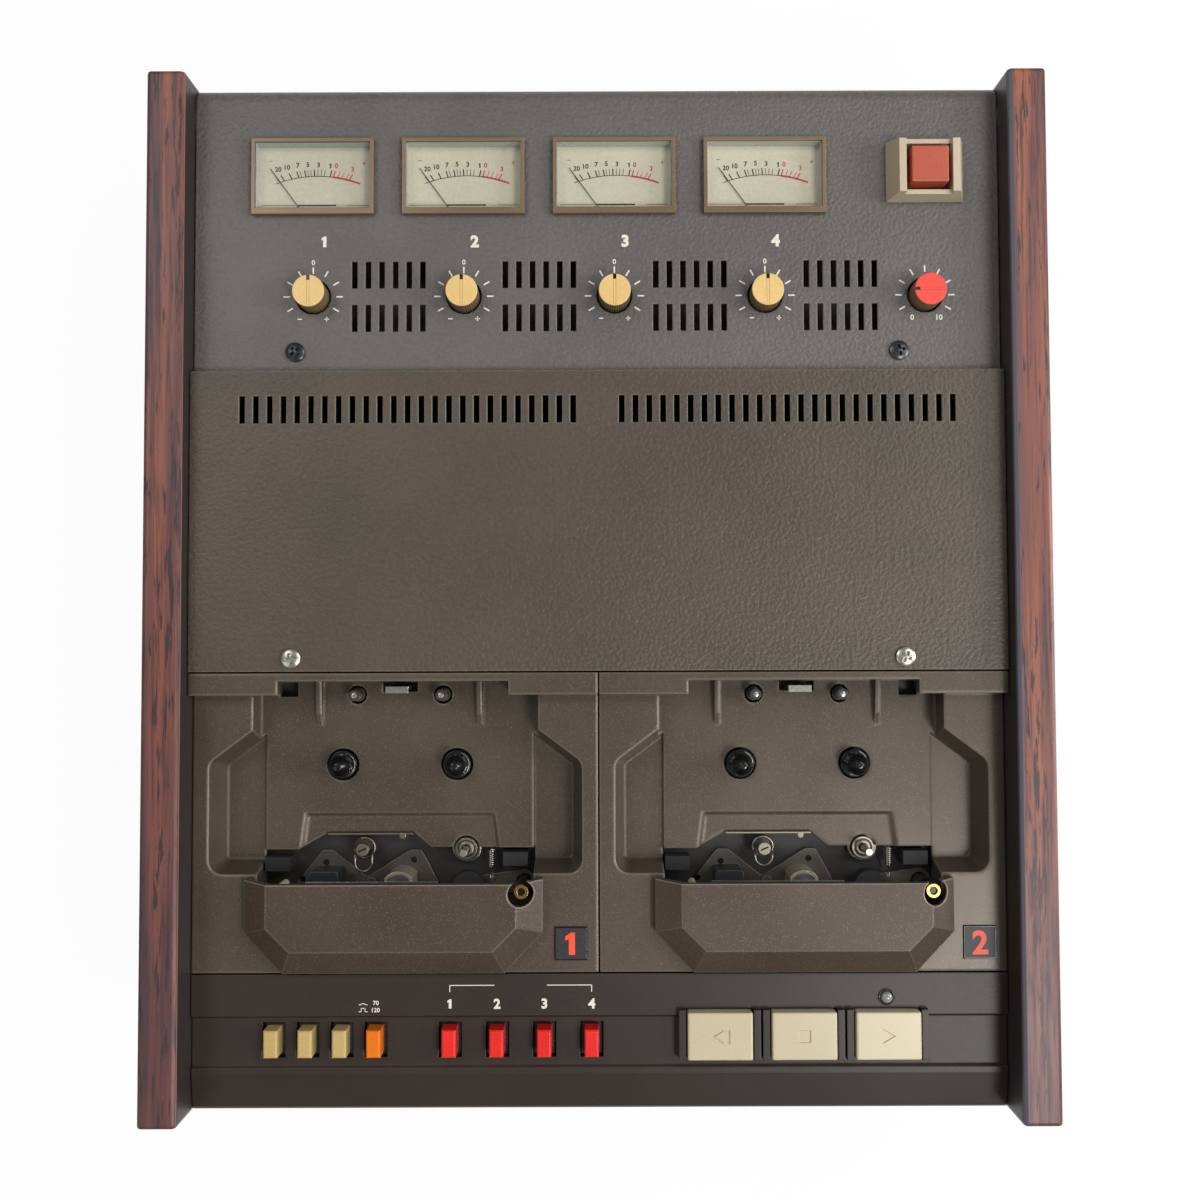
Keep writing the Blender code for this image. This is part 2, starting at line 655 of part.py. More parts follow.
def tidy(mesh, name):
    """Welds the seams that a curve's caps leave and turns every face outwards."""
    shape = bmesh.new()
    shape.from_mesh(mesh)
    bmesh.ops.remove_doubles(shape, verts=shape.verts, dist=WELD_DISTANCE)
    bmesh.ops.recalc_face_normals(shape, faces=shape.faces)
    shape.to_mesh(mesh)
    shape.free()
    mesh.name = name
    return mesh


def slab(name, outlines, low, high):
    """Flat outlines, the inner ones holes, carried up from one height to another."""
    curve = bpy.data.curves.new(name, "CURVE")
    curve.dimensions = "2D"
    curve.fill_mode = "BOTH"
    curve.extrude = (high - low) / 2
    for points in outlines:
        spline = curve.splines.new("POLY")
        spline.points.add(len(points) - 1)
        spline.use_cyclic_u = True
        for control, (x, y) in zip(spline.points, points):
            control.co = (x, y, 0, 1)
    guide = bpy.data.objects.new(name, curve)
    CUTTERS.objects.link(guide)
    bpy.context.view_layer.update()
    graph = bpy.context.evaluated_depsgraph_get()
    mesh = bpy.data.meshes.new_from_object(guide.evaluated_get(graph))
    bpy.data.objects.remove(guide)
    bpy.data.curves.remove(curve)
    mesh.transform(Matrix.Translation((0, 0, (low + high) / 2)))
    return tidy(mesh, name)


def bar(name, profile, low, high):
    """A profile of (y, z) points carried along X."""
    mesh = slab(name, [profile], low, high)
    mesh.transform(Matrix(((0, 0, 1, 0), (1, 0, 0, 0), (0, 1, 0, 0), (0, 0, 0, 1))))
    return mesh


def block(name, width, depth, low, high):
    return slab(name, [centred_rectangle(0, 0, width, depth)], low, high)


def loft(name, sections):
    """Sides through outlines of as many points each, given with their heights from low to high."""
    shape = bmesh.new()
    rings = [[shape.verts.new((x, y, z)) for x, y in points] for points, z in sections]
    shape.faces.new(rings[0])
    shape.faces.new(rings[-1])
    for lower, upper in zip(rings, rings[1:]):
        for index in range(len(lower)):
            following = (index + 1) % len(lower)
            shape.faces.new((lower[index], lower[following], upper[following], upper[index]))
    mesh = bpy.data.meshes.new(name)
    shape.to_mesh(mesh)
    shape.free()
    return tidy(mesh, name)


def turned(name, profile, sides=ROUND_SIDES):
    """A profile of (radius, z) points from top to bottom, turned about Z."""
    mesh = bpy.data.meshes.new(name)
    edges = [(i, i + 1) for i in range(len(profile) - 1)]
    mesh.from_pydata([(radius, 0, z) for radius, z in profile], edges, [])
    guide = bpy.data.objects.new(name, mesh)
    CUTTERS.objects.link(guide)
    screw = guide.modifiers.new("turn", "SCREW")
    screw.steps = sides
    screw.render_steps = sides
    screw.use_merge_vertices = True
    screw.merge_threshold = WELD_DISTANCE
    bpy.context.view_layer.update()
    graph = bpy.context.evaluated_depsgraph_get()
    result = bpy.data.meshes.new_from_object(guide.evaluated_get(graph))
    bpy.data.objects.remove(guide)
    bpy.data.meshes.remove(mesh)
    return smooth(tidy(result, name))


def post(name, x, y, radius, low, high, sides=SMALL_SIDES):
    return slab(name, [circle(x, y, radius, sides)], low, high)


def slots(x, y, count):
    """A row of vent slots centred on a point."""
    first = x - VENT_PITCH * (count - 1) / 2
    return [centred_rectangle(first + VENT_PITCH * i, y, VENT_WIDTH, VENT_DEPTH) for i in range(count)]


def make_cheeks():
    """The two wooden side boards."""
    height = TOTAL_HEIGHT - FOOT_HEIGHT
    mesh = block("cheek", CHEEK_THICKNESS, CHEEK_LENGTH, 0, height)
    x = (INNER_WIDTH + CHEEK_THICKNESS) / 2
    for name, side in (("cheek_left", -1), ("cheek_right", 1)):
        cheek = place(name, mesh, "rosewood", None, (side * x, 0, FOOT_HEIGHT))
        round_edges(cheek, CHEEK_ROUNDING)


def make_feet():
    """Four rubber feet under the tray."""
    top = FOOT_RADIUS
    profile = [(0, FOOT_HEIGHT), (top, FOOT_HEIGHT), (top - FOOT_TAPER, 0), (0, 0)]
    mesh = turned("foot", profile)
    x = INNER_WIDTH / 2 - FOOT_INSET
    y = BODY_DEPTH / 2 - FOOT_INSET
    corners = {"front_left": (-x, -y), "front_right": (x, -y), "rear_left": (-x, y), "rear_right": (x, y)}
    for name, (foot_x, foot_y) in corners.items():
        place("foot_" + name, mesh, "rubber", None, (foot_x, foot_y, 0))


def make_chassis_tray(top_datum):
    """The steel tray that carries everything, with a rim flange that the panels rest on."""
    half = PANEL_HALF_WIDTH
    shell = slab("chassis_tray", [rectangle(-half, half, FRONT_Y, REAR_Y)], TRAY_UNDERSIDE, -RIM_DROP)
    tray = place("chassis_tray", shell, "zinc_steel", top_datum)
    wall = half - SHEET
    rim = half - RIM_FLANGE
    front = FRONT_Y + RIM_FLANGE
    rear = REAR_Y - REAR_PANEL_INSET - SHEET - GAP
    end = REAR_Y + OVERRUN
    inside = rectangle(-wall, wall, FRONT_Y + SHEET, end)
    mouth = mirrored([(rim, front), (rim, rear), (wall, rear), (wall, end)])
    cut(tray, slab("tray_inside", [inside], TRAY_FLOOR, -RIM_DROP - SHEET))
    cut(tray, slab("tray_mouth", [mouth], TRAY_FLOOR + SHEET, -RIM_DROP + OVERRUN))


def socket_tools():
    """A barrel and its bore, both with their outer end at Y = 0 and running inwards."""
    back = SOCKET_PROUD + SHEET / 2
    radius = SOCKET_RADIUS
    barrel = turned("socket_barrel", [(0, back), (radius, back), (radius, 0), (0, 0)], SMALL_SIDES)
    radius = SOCKET_BORE_RADIUS
    depth = SOCKET_BORE_DEPTH
    bore_profile = [(0, depth), (radius, depth), (radius, -OVERRUN), (0, -OVERRUN)]
    bore = turned("socket_bore", bore_profile, SMALL_SIDES)
    for mesh in (barrel, bore):
        mesh.transform(Matrix.Rotation(QUARTER_TURN, 4, "X"))
    return barrel, bore


def make_rear_panel(top_datum):
    """The steel plate that closes the back, with the mains inlet and eight round sockets."""
    outer = REAR_Y - REAR_PANEL_INSET
    inner = outer - SHEET
    half = PANEL_HALF_WIDTH - SHEET - GAP - REAR_PANEL_SIDE
    low = TRAY_FLOOR + GAP
    high = SKIRT_BOTTOM + REAR_PANEL_OVERLAP
    mid = (low + high) / 2 + SOCKET_LIFT
    plate = slab("rear_panel", [rectangle(-half, half, inner, outer)], low, high)
    panel = place("rear_panel", plate, "zinc_steel", top_datum)
    back = inner - INLET_CAVITY
    half_width = INLET_WIDTH / 2
    half_height = INLET_HEIGHT / 2
    shell = rectangle(INLET_X - half_width, INLET_X + half_width, back, outer + INLET_PROUD)
    join(panel, slab("inlet_shell", [shell], mid - half_height, mid + half_height))
    half_width -= INLET_WALL
    half_height -= INLET_WALL
    cavity = rectangle(INLET_X - half_width, INLET_X + half_width, back + INLET_WALL, REAR_Y)
    cut(panel, slab("inlet_cavity", [cavity], mid - half_height, mid + half_height))
    barrel, bore = socket_tools()
    for row, z in enumerate((mid - SOCKET_ROWS_APART / 2, mid + SOCKET_ROWS_APART / 2)):
        for column in range(SOCKETS_IN_ROW):
            x = SOCKET_FROM_SIDE - PANEL_HALF_WIDTH + SOCKET_PITCH * column
            where = (x, outer + SOCKET_PROUD, z)
            for mesh, act in ((barrel, join), (bore, cut)):
                copy = mesh.copy()
                copy.name = f"{mesh.name}_{row}_{column}"
                copy.transform(Matrix.Translation(where))
                act(panel, copy)


def sheet_cover(name, profile, parent):
    """A folded cover: a profile whose first edge is its open foot, with walls of sheet thickness."""
    half = PANEL_HALF_WIDTH
    cover = place(name, bar(name, profile, -half, half), "textured_paint", parent)
    inner = offset(profile, -SHEET)
    inner[:2] = [(y, SKIRT_BOTTOM - OVERRUN) for y, _ in inner[:2]]
    cut(cover, bar(name + "_inside", inner, -half - OVERRUN, half + OVERRUN))
    return cover


def make_meter_panel(top_datum):
    """The rear panel with its rolled rear edge, meter windows, knob holes and vent slots."""
    profile = [(METER_PANEL_FRONT_Y, SKIRT_BOTTOM), (REAR_Y, SKIRT_BOTTOM)]
    bend = METER_PANEL_BEND
    for step in range(ROLL_STEPS + 1):
        angle = QUARTER_TURN * step / ROLL_STEPS
        y = REAR_Y - bend + bend * math.cos(angle)
        profile.append((y, METER_PANEL_RISE - bend + bend * math.sin(angle)))
    profile.append((METER_PANEL_FRONT_Y, METER_PANEL_RISE))
    panel = sheet_cover("meter_panel", profile, top_datum)
    holes = [circle(MONITOR_X, KNOB_Y, KNOB_HOLE_RADIUS)]
    holes.append(centred_rectangle(POWER_X, POWER_Y, POWER_WIDTH + 2 * GAP, POWER_DEPTH + 2 * GAP))
    for x in KNOB_XS:
        holes.append(meter_outline(x, BEZEL_BAND - METER_NECK_WALL - GAP))
        holes.append(circle(x, KNOB_Y, KNOB_HOLE_RADIUS))
        for side in (-1, 1):
            y = KNOB_Y + side * PANEL_VENT_ROWS_APART / 2
            holes.extend(slots(x + PANEL_VENT_BESIDE_KNOB, y, SLOTS_IN_PANEL_VENT))
    cut(panel, slab("meter_panel_holes", holes, METER_PANEL_UNDERSIDE - OVERRUN, METER_PANEL_RISE + OVERRUN))


def make_mid_cover(top_datum):
    """The raised cover over the electronics, with a row of vent slots over each half."""
    profile = rectangle(MID_COVER_FRONT_Y, MID_COVER_REAR_Y, SKIRT_BOTTOM, MID_COVER_RISE)
    cover = sheet_cover("mid_cover", profile, top_datum)
    y = MID_COVER_REAR_Y - COVER_VENT_FROM_REAR
    holes = slots(-COVER_VENT_X, y, SLOTS_IN_COVER_VENT) + slots(COVER_VENT_X, y, SLOTS_IN_COVER_VENT)
    cut(cover, slab("mid_cover_vents", holes, MID_COVER_RISE - SHEET - OVERRUN, MID_COVER_RISE + OVERRUN))


def meter_outline(x, inset):
    """The outline of a meter's bezel moved inwards, with its wider band at the front kept."""
    half = BEZEL_WIDTH / 2 - inset
    front = METER_Y - BEZEL_DEPTH / 2 + inset
    if inset:
        front += BEZEL_BAND_FRONT - BEZEL_BAND
    return rectangle(x - half, x + half, front, METER_Y + BEZEL_DEPTH / 2 - inset)


def make_meter(number, x, top_datum):
    """One level meter: its bezel, neck and case in one moulding, open above the dial."""
    name = f"meter_{number}"
    half = BEZEL_WIDTH / 2
    top = METER_PANEL_RISE + BEZEL_RISE
    outline = rectangle(x - half, x + half, METER_CASE_FRONT, METER_Y + BEZEL_DEPTH / 2)
    case = slab(name, [outline], METER_CASE_LOW, METER_CASE_TOP)
    meter = place(name, case, "meter_bezel", top_datum)
    neck = meter_outline(x, BEZEL_BAND - METER_NECK_WALL)
    join(meter, slab(f"meter_neck_{number}", [neck], DIAL_Z - GAP, top))
    join(meter, slab(f"meter_rim_{number}", [meter_outline(x, 0)], METER_PANEL_RISE + GAP, top))
    half = NEEDLE_POCKET_WIDTH / 2
    pocket = rectangle(x - half, x + half, METER_Y - NEEDLE_POCKET_FRONT, METER_Y)
    cut(meter, slab(f"meter_pocket_{number}", [pocket], DIAL_Z, METER_CASE_TOP + GAP / 2))
    cut(meter, slab(f"meter_window_{number}", [meter_outline(x, BEZEL_BAND)], DIAL_Z, top + OVERRUN))


def make_needle(number, x, top_datum):
    """The needle of one meter, resting to the left, with its hub on the pivot below the panel."""
    name = f"needle_{number}"
    where = (x, METER_Y - NEEDLE_PIVOT_Y, DIAL_Z + GAP)
    half = NEEDLE_WIDTH / 2
    arm = slab(name, [rectangle(-half, half, 0, NEEDLE_LENGTH)], 0, NEEDLE_THICKNESS)
    arm.transform(Matrix.Rotation(NEEDLE_REST_ANGLE, 4, "Z"))
    needle = place(name, arm, "needle_paint", top_datum, where)
    hub = post(f"needle_hub_{number}", 0, 0, NEEDLE_HUB_RADIUS, 0, NEEDLE_THICKNESS)
    join(needle, hub, where)


def make_knobs(top_datum):
    """Four track level knobs with golden caps and one monitor knob with a red cap."""
    shaft_low = BOARD_TOP + GAP - METER_PANEL_RISE
    profile = [
        (0, KNOB_RISE),
        (KNOB_RADIUS - KNOB_DISH, KNOB_RISE),
        (KNOB_RADIUS, KNOB_RISE - KNOB_DISH),
        (KNOB_RADIUS, -KNOB_SKIRT),
        (KNOB_SHAFT_RADIUS, -KNOB_SKIRT),
        (KNOB_SHAFT_RADIUS, shaft_low),
        (0, shaft_low),
    ]
    track_mesh = turned("track_knob", profile)
    for number, x in enumerate(KNOB_XS, start=1):
        place(f"track_knob_{number}", track_mesh, "golden_cap", top_datum, (x, KNOB_Y, METER_PANEL_RISE))
    monitor_mesh = turned("monitor_knob", profile)
    place("monitor_knob", monitor_mesh, "red_plastic", top_datum, (MONITOR_X, KNOB_Y, METER_PANEL_RISE))


def make_circuit_board(top_datum):
    """The board that carries the level controls, hung from the meter panel on four studs."""
    left = KNOB_XS[0] - BOARD_MARGIN
    right = STUD_X + STUD_INSET
    front = KNOB_Y - BOARD_BEFORE_KNOBS
    rear = METER_CASE_FRONT - BOARD_FROM_METERS
    outline = rectangle(left, right, front, rear)
    sheet = slab("circuit_board", [outline], BOARD_TOP - BOARD_THICKNESS, BOARD_TOP)
    board = place("circuit_board", sheet, "board_green", top_datum)
    low = BOARD_TOP - BOARD_THICKNESS / 2
    corners = rectangle(left + STUD_INSET, STUD_X, front + STUD_INSET, rear - STUD_INSET)
    for corner, (x, y) in enumerate(corners):
        join(board, post(f"board_stud_{corner}", x, y, STUD_RADIUS, low, METER_PANEL_UNDERSIDE - GAP))


def make_power_switch(top_datum):
    """The power button and the drafted guard that stands round it."""
    foot = METER_PANEL_RISE + GAP
    top = METER_PANEL_RISE + GUARD_RISE
    crest_width = GUARD_WIDTH - 2 * GUARD_SIDE_DRAFT
    crest_depth = GUARD_DEPTH - 2 * GUARD_END_DRAFT
    base = centred_rectangle(POWER_X, POWER_Y, GUARD_WIDTH, GUARD_DEPTH)
    crest = centred_rectangle(POWER_X, POWER_Y, crest_width, crest_depth)
    guard = place("power_guard", loft("power_guard", [(base, foot), (crest, top)]), "guard_paint", top_datum)
    opening = centred_rectangle(POWER_X, POWER_Y, GUARD_OPENING_WIDTH, GUARD_OPENING_DEPTH)
    cut(guard, slab("guard_opening", [opening], foot - OVERRUN, top + OVERRUN))
    saddle = centred_rectangle(POWER_X, POWER_Y, GUARD_OPENING_WIDTH, GUARD_DEPTH + OVERRUN)
    cut(guard, slab("guard_saddle", [saddle], METER_PANEL_RISE + GUARD_BAR_RISE, top + OVERRUN))
    mesh = block("power_button", POWER_WIDTH, POWER_DEPTH, -POWER_STEM, POWER_RISE)
    button = place("power_button", mesh, "power_red", top_datum, (POWER_X, POWER_Y, METER_PANEL_RISE))
    round_edges(button, POWER_EDGE)


def control_profile():
    """The outer profile of the control panel, from the front foot round over the top."""
    bottom = SKIRT_BOTTOM
    rounding = FRONT_EDGE_ROUNDING
    return [
        (FRONT_Y, bottom),
        (CONTROL_REAR_Y, bottom),
        (CONTROL_REAR_Y, LEGEND_RISE),
        (FRONT_Y + CHANNEL_REAR, LEGEND_RISE),
        (FRONT_Y + CHANNEL_REAR - CHANNEL_SLOPE, CHANNEL_RISE),
        (FRONT_Y + CHANNEL_FRONT, CHANNEL_RISE),
        (FRONT_Y + CHANNEL_FRONT - CHANNEL_SLOPE, RIDGE_RISE),
        (FRONT_Y + RIDGE_FRONT, RIDGE_RISE),
        (FRONT_Y + rounding, FRONT_EDGE_RISE + rounding / 2),
        (FRONT_Y, FRONT_EDGE_RISE - rounding / 2),
    ]


def make_control_panel(top_datum):
    """The black panel along the front, with button holes, key wells, fins and the lamp hole."""
    half = PANEL_HALF_WIDTH
    shell = bar("control_panel", control_profile(), -half, half)
    panel = place("control_panel", shell, "black_plastic", top_datum)
    for key_index, x in enumerate(KEY_XS):
        for side in (-1, 1):
            centre = x + side * (KEY_WIDTH / 2 + KEY_CLEARANCE + FIN_WIDTH / 2)
            outline = centred_rectangle(centre, KEY_Y, FIN_WIDTH, KEY_DEPTH + 2 * KEY_CLEARANCE)
            join(panel, slab(f"fin_{key_index}_{side}", [outline], CHANNEL_RISE - WALL / 2, FIN_RISE))
    ceiling = CHANNEL_RISE - WALL
    inside = [
        (FRONT_Y + WALL, SKIRT_BOTTOM - OVERRUN),
        (CONTROL_REAR_Y - WALL, SKIRT_BOTTOM - OVERRUN),
        (CONTROL_REAR_Y - WALL, ceiling),
        (FRONT_Y + RIDGE_FRONT, ceiling),
        (FRONT_Y + WALL, FRONT_EDGE_RISE - WALL),
    ]
    cut(panel, bar("control_inside", inside, -half - OVERRUN, half + OVERRUN))
    holes = [centred_rectangle(x, BUTTON_Y, BUTTON_HOLE_WIDTH, BUTTON_HOLE_DEPTH) for x in SMALL_BUTTON_XS]
    clear = 2 * KEY_CLEARANCE
    holes += [centred_rectangle(x, KEY_Y, KEY_WIDTH + clear, KEY_DEPTH + clear) for x in KEY_XS]
    holes.append(circle(KEY_XS[-1], CONTROL_REAR_Y - LAMP_FROM_REAR, LAMP_HOLE_RADIUS, SMALL_SIDES))
    cut(panel, slab("control_holes", holes, ceiling - OVERRUN, LEGEND_RISE + OVERRUN))


def make_small_button(name, finish, x, top_datum):
    """One push button: a collar that runs in its hole and a cap with bevelled edges."""
    where = (x, BUTTON_Y, CHANNEL_RISE)
    high = -BUTTON_COLLAR_DROP
    collar = centred_rectangle(0, 0, BUTTON_HOLE_WIDTH - 2 * GAP, BUTTON_HOLE_DEPTH - 2 * GAP)
    button = place(name, slab(name, [collar], high - BUTTON_COLLAR_HEIGHT, high), finish, top_datum, where)
    wide = centred_rectangle(0, 0, BUTTON_WIDTH, BUTTON_DEPTH)
    narrow = centred_rectangle(0, 0, BUTTON_WIDTH - 2 * BUTTON_EDGE, BUTTON_DEPTH - 2 * BUTTON_EDGE)
    sections = [(wide, high - GAP), (wide, BUTTON_RISE - BUTTON_EDGE), (narrow, BUTTON_RISE)]
    join(button, loft(name + "_cap", sections), where)


def make_small_buttons(top_datum):
    """Three mode buttons, the equaliser button and four record buttons."""
    for number, x in enumerate(MODE_BUTTON_XS, start=1):
        make_small_button(f"mode_button_{number}", "cream_plastic", x, top_datum)
    make_small_button("equaliser_button", "orange_plastic", EQUALISER_BUTTON_X, top_datum)
    for number, x in enumerate(RECORD_BUTTON_XS, start=1):
        make_small_button(f"record_button_{number}", "red_plastic", x, top_datum)


def rewind_marks():
    """The rewind key's marks: a triangle that points left and a chevron ahead of it."""
    half = SYMBOL_HEIGHT / 2
    tip = (CHEVRON_LEAD - REWIND_SYMBOL_LENGTH) / 2
    triangle = [(tip + REWIND_SYMBOL_LENGTH, -half), (tip + REWIND_SYMBOL_LENGTH, half), (tip, 0)]
    lead = tip - CHEVRON_LEAD
    end = lead + CHEVRON_LENGTH
    inner = half * (CHEVRON_LENGTH - CHEVRON_BAND) / CHEVRON_LENGTH
    chevron = [
        (lead, 0),
        (end, -half),
        (end, -inner),
        (lead + CHEVRON_BAND, 0),
        (end, inner),
        (end, half),
    ]
    return [triangle, chevron]


def key_marks():
    """The engraved marks of each key, centred on its top: rewind, stop and play."""
    half = SYMBOL_HEIGHT / 2
    reach = PLAY_SYMBOL_LENGTH / 2
    stop = centred_rectangle(0, 0, STOP_SYMBOL_SIZE, STOP_SYMBOL_SIZE)
    play = [(-reach, -half), (reach, 0), (-reach, half)]
    return {"rewind_key": rewind_marks(), "stop_key": [stop], "copy_key": [play]}


def make_keys(top_datum):
    """Three large keys for rewinding, stopping and copying."""
    for (name, outlines), x in zip(key_marks().items(), KEY_XS):
        where = (x, KEY_Y, 0)
        mesh = block(name, KEY_WIDTH, KEY_DEPTH, KEY_RISE - KEY_SKIRT, KEY_RISE)
        key = place(name, mesh, "cream_plastic", top_datum, where)
        round_edges(key, KEY_EDGE)
        for number, outline in enumerate(outlines):
            mark = slab(f"{name}_mark_{number}", [outline], KEY_RISE - SYMBOL_DEPTH, KEY_RISE + OVERRUN)
            cut(key, mark, where)


def well_half():
    """Right half of the cassette well, from the head opening to the rear."""
    return [
        (WELL_HALF_WIDTH_FRONT, -OPENING_LEFT_EDGE - WELL_LAP),
        (WELL_HALF_WIDTH_FRONT, -WELL_TAPER_END),
        (WELL_HALF_WIDTH, WELL_TAPER_START),
        (WELL_HALF_WIDTH, STRIP_FRONT),
        (STRIP_STEP_X, STRIP_FRONT),
        (STRIP_STEP_X, WELL_REAR),
    ]


def recess_outline(inner_x):
    """The right finger recess from an inner edge outwards, counter-clockwise from its front."""
    slope = (RECESS_REAR - RECESS_SHOULDER_Y) / (RECESS_SHOULDER_X - WELL_HALF_WIDTH)
    corners = [
        (inner_x, -RECESS_FRONT),
        (RECESS_OUTER_X, -RECESS_FRONT),
        (RECESS_OUTER_X, RECESS_SHOULDER_Y + slope * (RECESS_SHOULDER_X - RECESS_OUTER_X)),
        (inner_x, RECESS_SHOULDER_Y + slope * (RECESS_SHOULDER_X - inner_x)),
    ]
    arc_points = RECESS_STEPS + 1
    outer_arcs = fillet(corners, RECESS_ROUNDING, RECESS_STEPS)[arc_points : 3 * arc_points]
    return [corners[0]] + outer_arcs + [corners[-1]]


def recess_mesh(name, side):
    """A cutter for one finger recess, whose outer walls lean outwards from its floor."""
    top = recess_outline(RECESS_INNER_X)
    floor = offset(recess_outline(RECESS_INNER_X - RECESS_DRAFT), -RECESS_DRAFT)
    levels = ((floor, -RECESS_DEPTH), (top, DECK_RISE), (top, DECK_RISE + OVERRUN))
    return loft(name, [([(side * x, y) for x, y in points], z) for points, z in levels])


def opening_outline():
    """The opening in front of the well, through which heads, capstan and roller reach."""
    side = OPENING_HALF_WIDTH
    return [
        (-side, -OPENING_FRONT),
        (side, -OPENING_FRONT),
        (side, -OPENING_RIGHT_EDGE),
        (OPENING_RIGHT_CORNER, -OPENING_RIGHT_EDGE),
        (OPENING_RIGHT_SHOULDER, -OPENING_MIDDLE_EDGE),
        (-OPENING_LEFT_SHOULDER, -OPENING_MIDDLE_EDGE),
        (-OPENING_LEFT_CORNER, -OPENING_LEFT_EDGE),
        (-side, -OPENING_LEFT_EDGE),
    ]


def moat_outline():
    """The hollow under the deck's top, which runs round the well on three sides."""
    side = DECK_HALF_WIDTH - WALL
    rear = DECK_REAR_TO_HUBS - WALL
    envelope = [(OPENING_HALF_WIDTH, -OPENING_FRONT)]
    envelope += [(OPENING_HALF_WIDTH, -RECESS_FRONT)] + recess_outline(OPENING_HALF_WIDTH)[1:-1]
    envelope += [(WELL_HALF_WIDTH, RECESS_REAR), (WELL_HALF_WIDTH, rear - WALL)]
    half = offset(mirrored(envelope), WALL)[: len(envelope)]
    outer = [(-side, rear), (-side, WALL - DECK_FRONT), (side, WALL - DECK_FRONT), (side, rear)]
    return outer + half[::-1] + [(-x, y) for x, y in half]


def make_deck_plate(role, datum):
    """One moulded deck plate with its cassette well, recesses, holes and ribs."""
    name = f"deck_plate_{role}"
    half = DECK_HALF_WIDTH
    profile = [
        (-DECK_FRONT, SKIRT_BOTTOM),
        (DECK_REAR_TO_HUBS, SKIRT_BOTTOM),
        (DECK_REAR_TO_HUBS, REAR_STRIP_RISE),
        (STRIP_FRONT, REAR_STRIP_RISE),
        (STRIP_FRONT, DECK_RISE),
        (-DECK_FRONT, DECK_RISE),
    ]
    plate = place(name, bar(name, profile, -half, half), "bronze_paint", datum)
    above = REAR_STRIP_RISE + OVERRUN
    cut(plate, slab(f"well_{role}", [mirrored(well_half())], 0, above))
    for side in (-1, 1):
        cut(plate, recess_mesh(f"recess_{role}_{side}", side))
    field = mirrored([(FIELD_HALF_FRONT, -OPENING_LEFT_EDGE - WELL_LAP), (FIELD_HALF_REAR, -FIELD_REAR)])
    sunk = offset(field, -FIELD_CHAMFER)
    cut(plate, loft(f"field_{role}", [(sunk, -FIELD_DEPTH), (field, 0), (field, OVERRUN)]))
    inner = rectangle(-half + WALL, half - WALL, -DECK_FRONT + WALL, DECK_REAR_TO_HUBS - WALL)
    cut(plate, slab(f"underside_{role}", [inner], SKIRT_BOTTOM - OVERRUN, -FLOOR_UNDERSIDE))
    cut(plate, slab(f"moat_{role}", [moat_outline()], -FLOOR_UNDERSIDE - OVERRUN, DECK_RISE - WALL))
    for side in (-1, 1):
        rib = [
            (RIB_FRONT, -FLOOR_UNDERSIDE / 2),
            (WELL_REAR + WALL / 2, -FLOOR_UNDERSIDE / 2),
            (WELL_REAR + WALL / 2, RIB_REAR_RISE),
            (RIB_SHOULDER, RIB_SHOULDER_RISE),
            (RIB_FRONT, GAP / 2),
        ]
        centre = side * RIB_X
        join(plate, bar(f"rib_{role}_{side}", rib, centre - RIB_WIDTH / 2, centre + RIB_WIDTH / 2))
    below = -FLOOR_UNDERSIDE - OVERRUN
    holes = [opening_outline()]
    holes += [circle(side * HUB_SPACING / 2, 0, HUB_HOLE_RADIUS) for side in (-1, 1)]
    holes += [circle(side * PIN_X, PIN_Y, PIN_HOLE_RADIUS, SMALL_SIDES) for side in (-1, 1)]
    holes.append(rectangle(-LATCH_SLOT_WIDTH / 2, LATCH_SLOT_WIDTH / 2, LATCH_SLOT_FRONT, LATCH_SLOT_REAR))
    cut(plate, slab(f"floor_holes_{role}", holes, below, above))
    notch = circle(CAPSTAN_X, -CAPSTAN_Y, CAPSTAN_NOTCH_RADIUS)
    cut(plate, slab(f"capstan_notch_{role}", [notch], below, DECK_RISE))
    outward = -1 if role == "master" else 1
    ends = sorted((outward * SENSE_INNER, outward * SENSE_OUTER))
    cut(plate, slab(f"sense_{role}", [rectangle(*ends, SENSE_FRONT, SENSE_REAR)], below, SENSE_RISE))


def make_head_cover(role, datum):
    """The faceted cover over the heads, open towards the cassette."""
    name = f"head_cover_{role}"
    side = COVER_HALF_WIDTH
    base = mirrored([(COVER_HALF_FRONT, -COVER_FRONT), (side, -COVER_SHOULDER), (side, -COVER_REAR)])
    side -= COVER_SIDE_SLOPE
    corner = (COVER_HALF_FRONT - COVER_CORNER_SLOPE, COVER_FRONT_SLOPE - COVER_FRONT)
    shoulder = (side, COVER_SHOULDER_SLOPE - COVER_SHOULDER)
    top = mirrored([corner, shoulder, (side, -COVER_REAR - COVER_REAR_SLOPE)])
    foot = DECK_RISE + GAP
    shell = loft(name, [(base, foot), (base, COVER_WALL_RISE), (top, COVER_TOP_RISE)])
    cover = place(name, shell, "bronze_paint", datum)
    hollow_base = open_rear(offset(base, -COVER_WALL))
    hollow_top = open_rear(offset(top, -COVER_WALL))
    below = foot - OVERRUN
    bend = COVER_WALL_RISE - COVER_WALL / 2
    ceiling = COVER_TOP_RISE - COVER_WALL
    sections = [(hollow_base, below), (hollow_base, bend), (hollow_top, ceiling)]
    cut(cover, loft(f"cover_inside_{role}", sections))
    notch = circle(PIVOT_X, -PIVOT_Y, COVER_NOTCH_RADIUS)
    cut(cover, slab(f"cover_notch_{role}", [notch], below, COVER_TOP_RISE + OVERRUN))


def open_rear(points):
    """An inner outline of the head cover whose rear edge runs out past the rear of the cover."""
    rear = max(y for _, y in points)
    return [(x, OVERRUN - COVER_REAR if y == rear else y) for x, y in points]


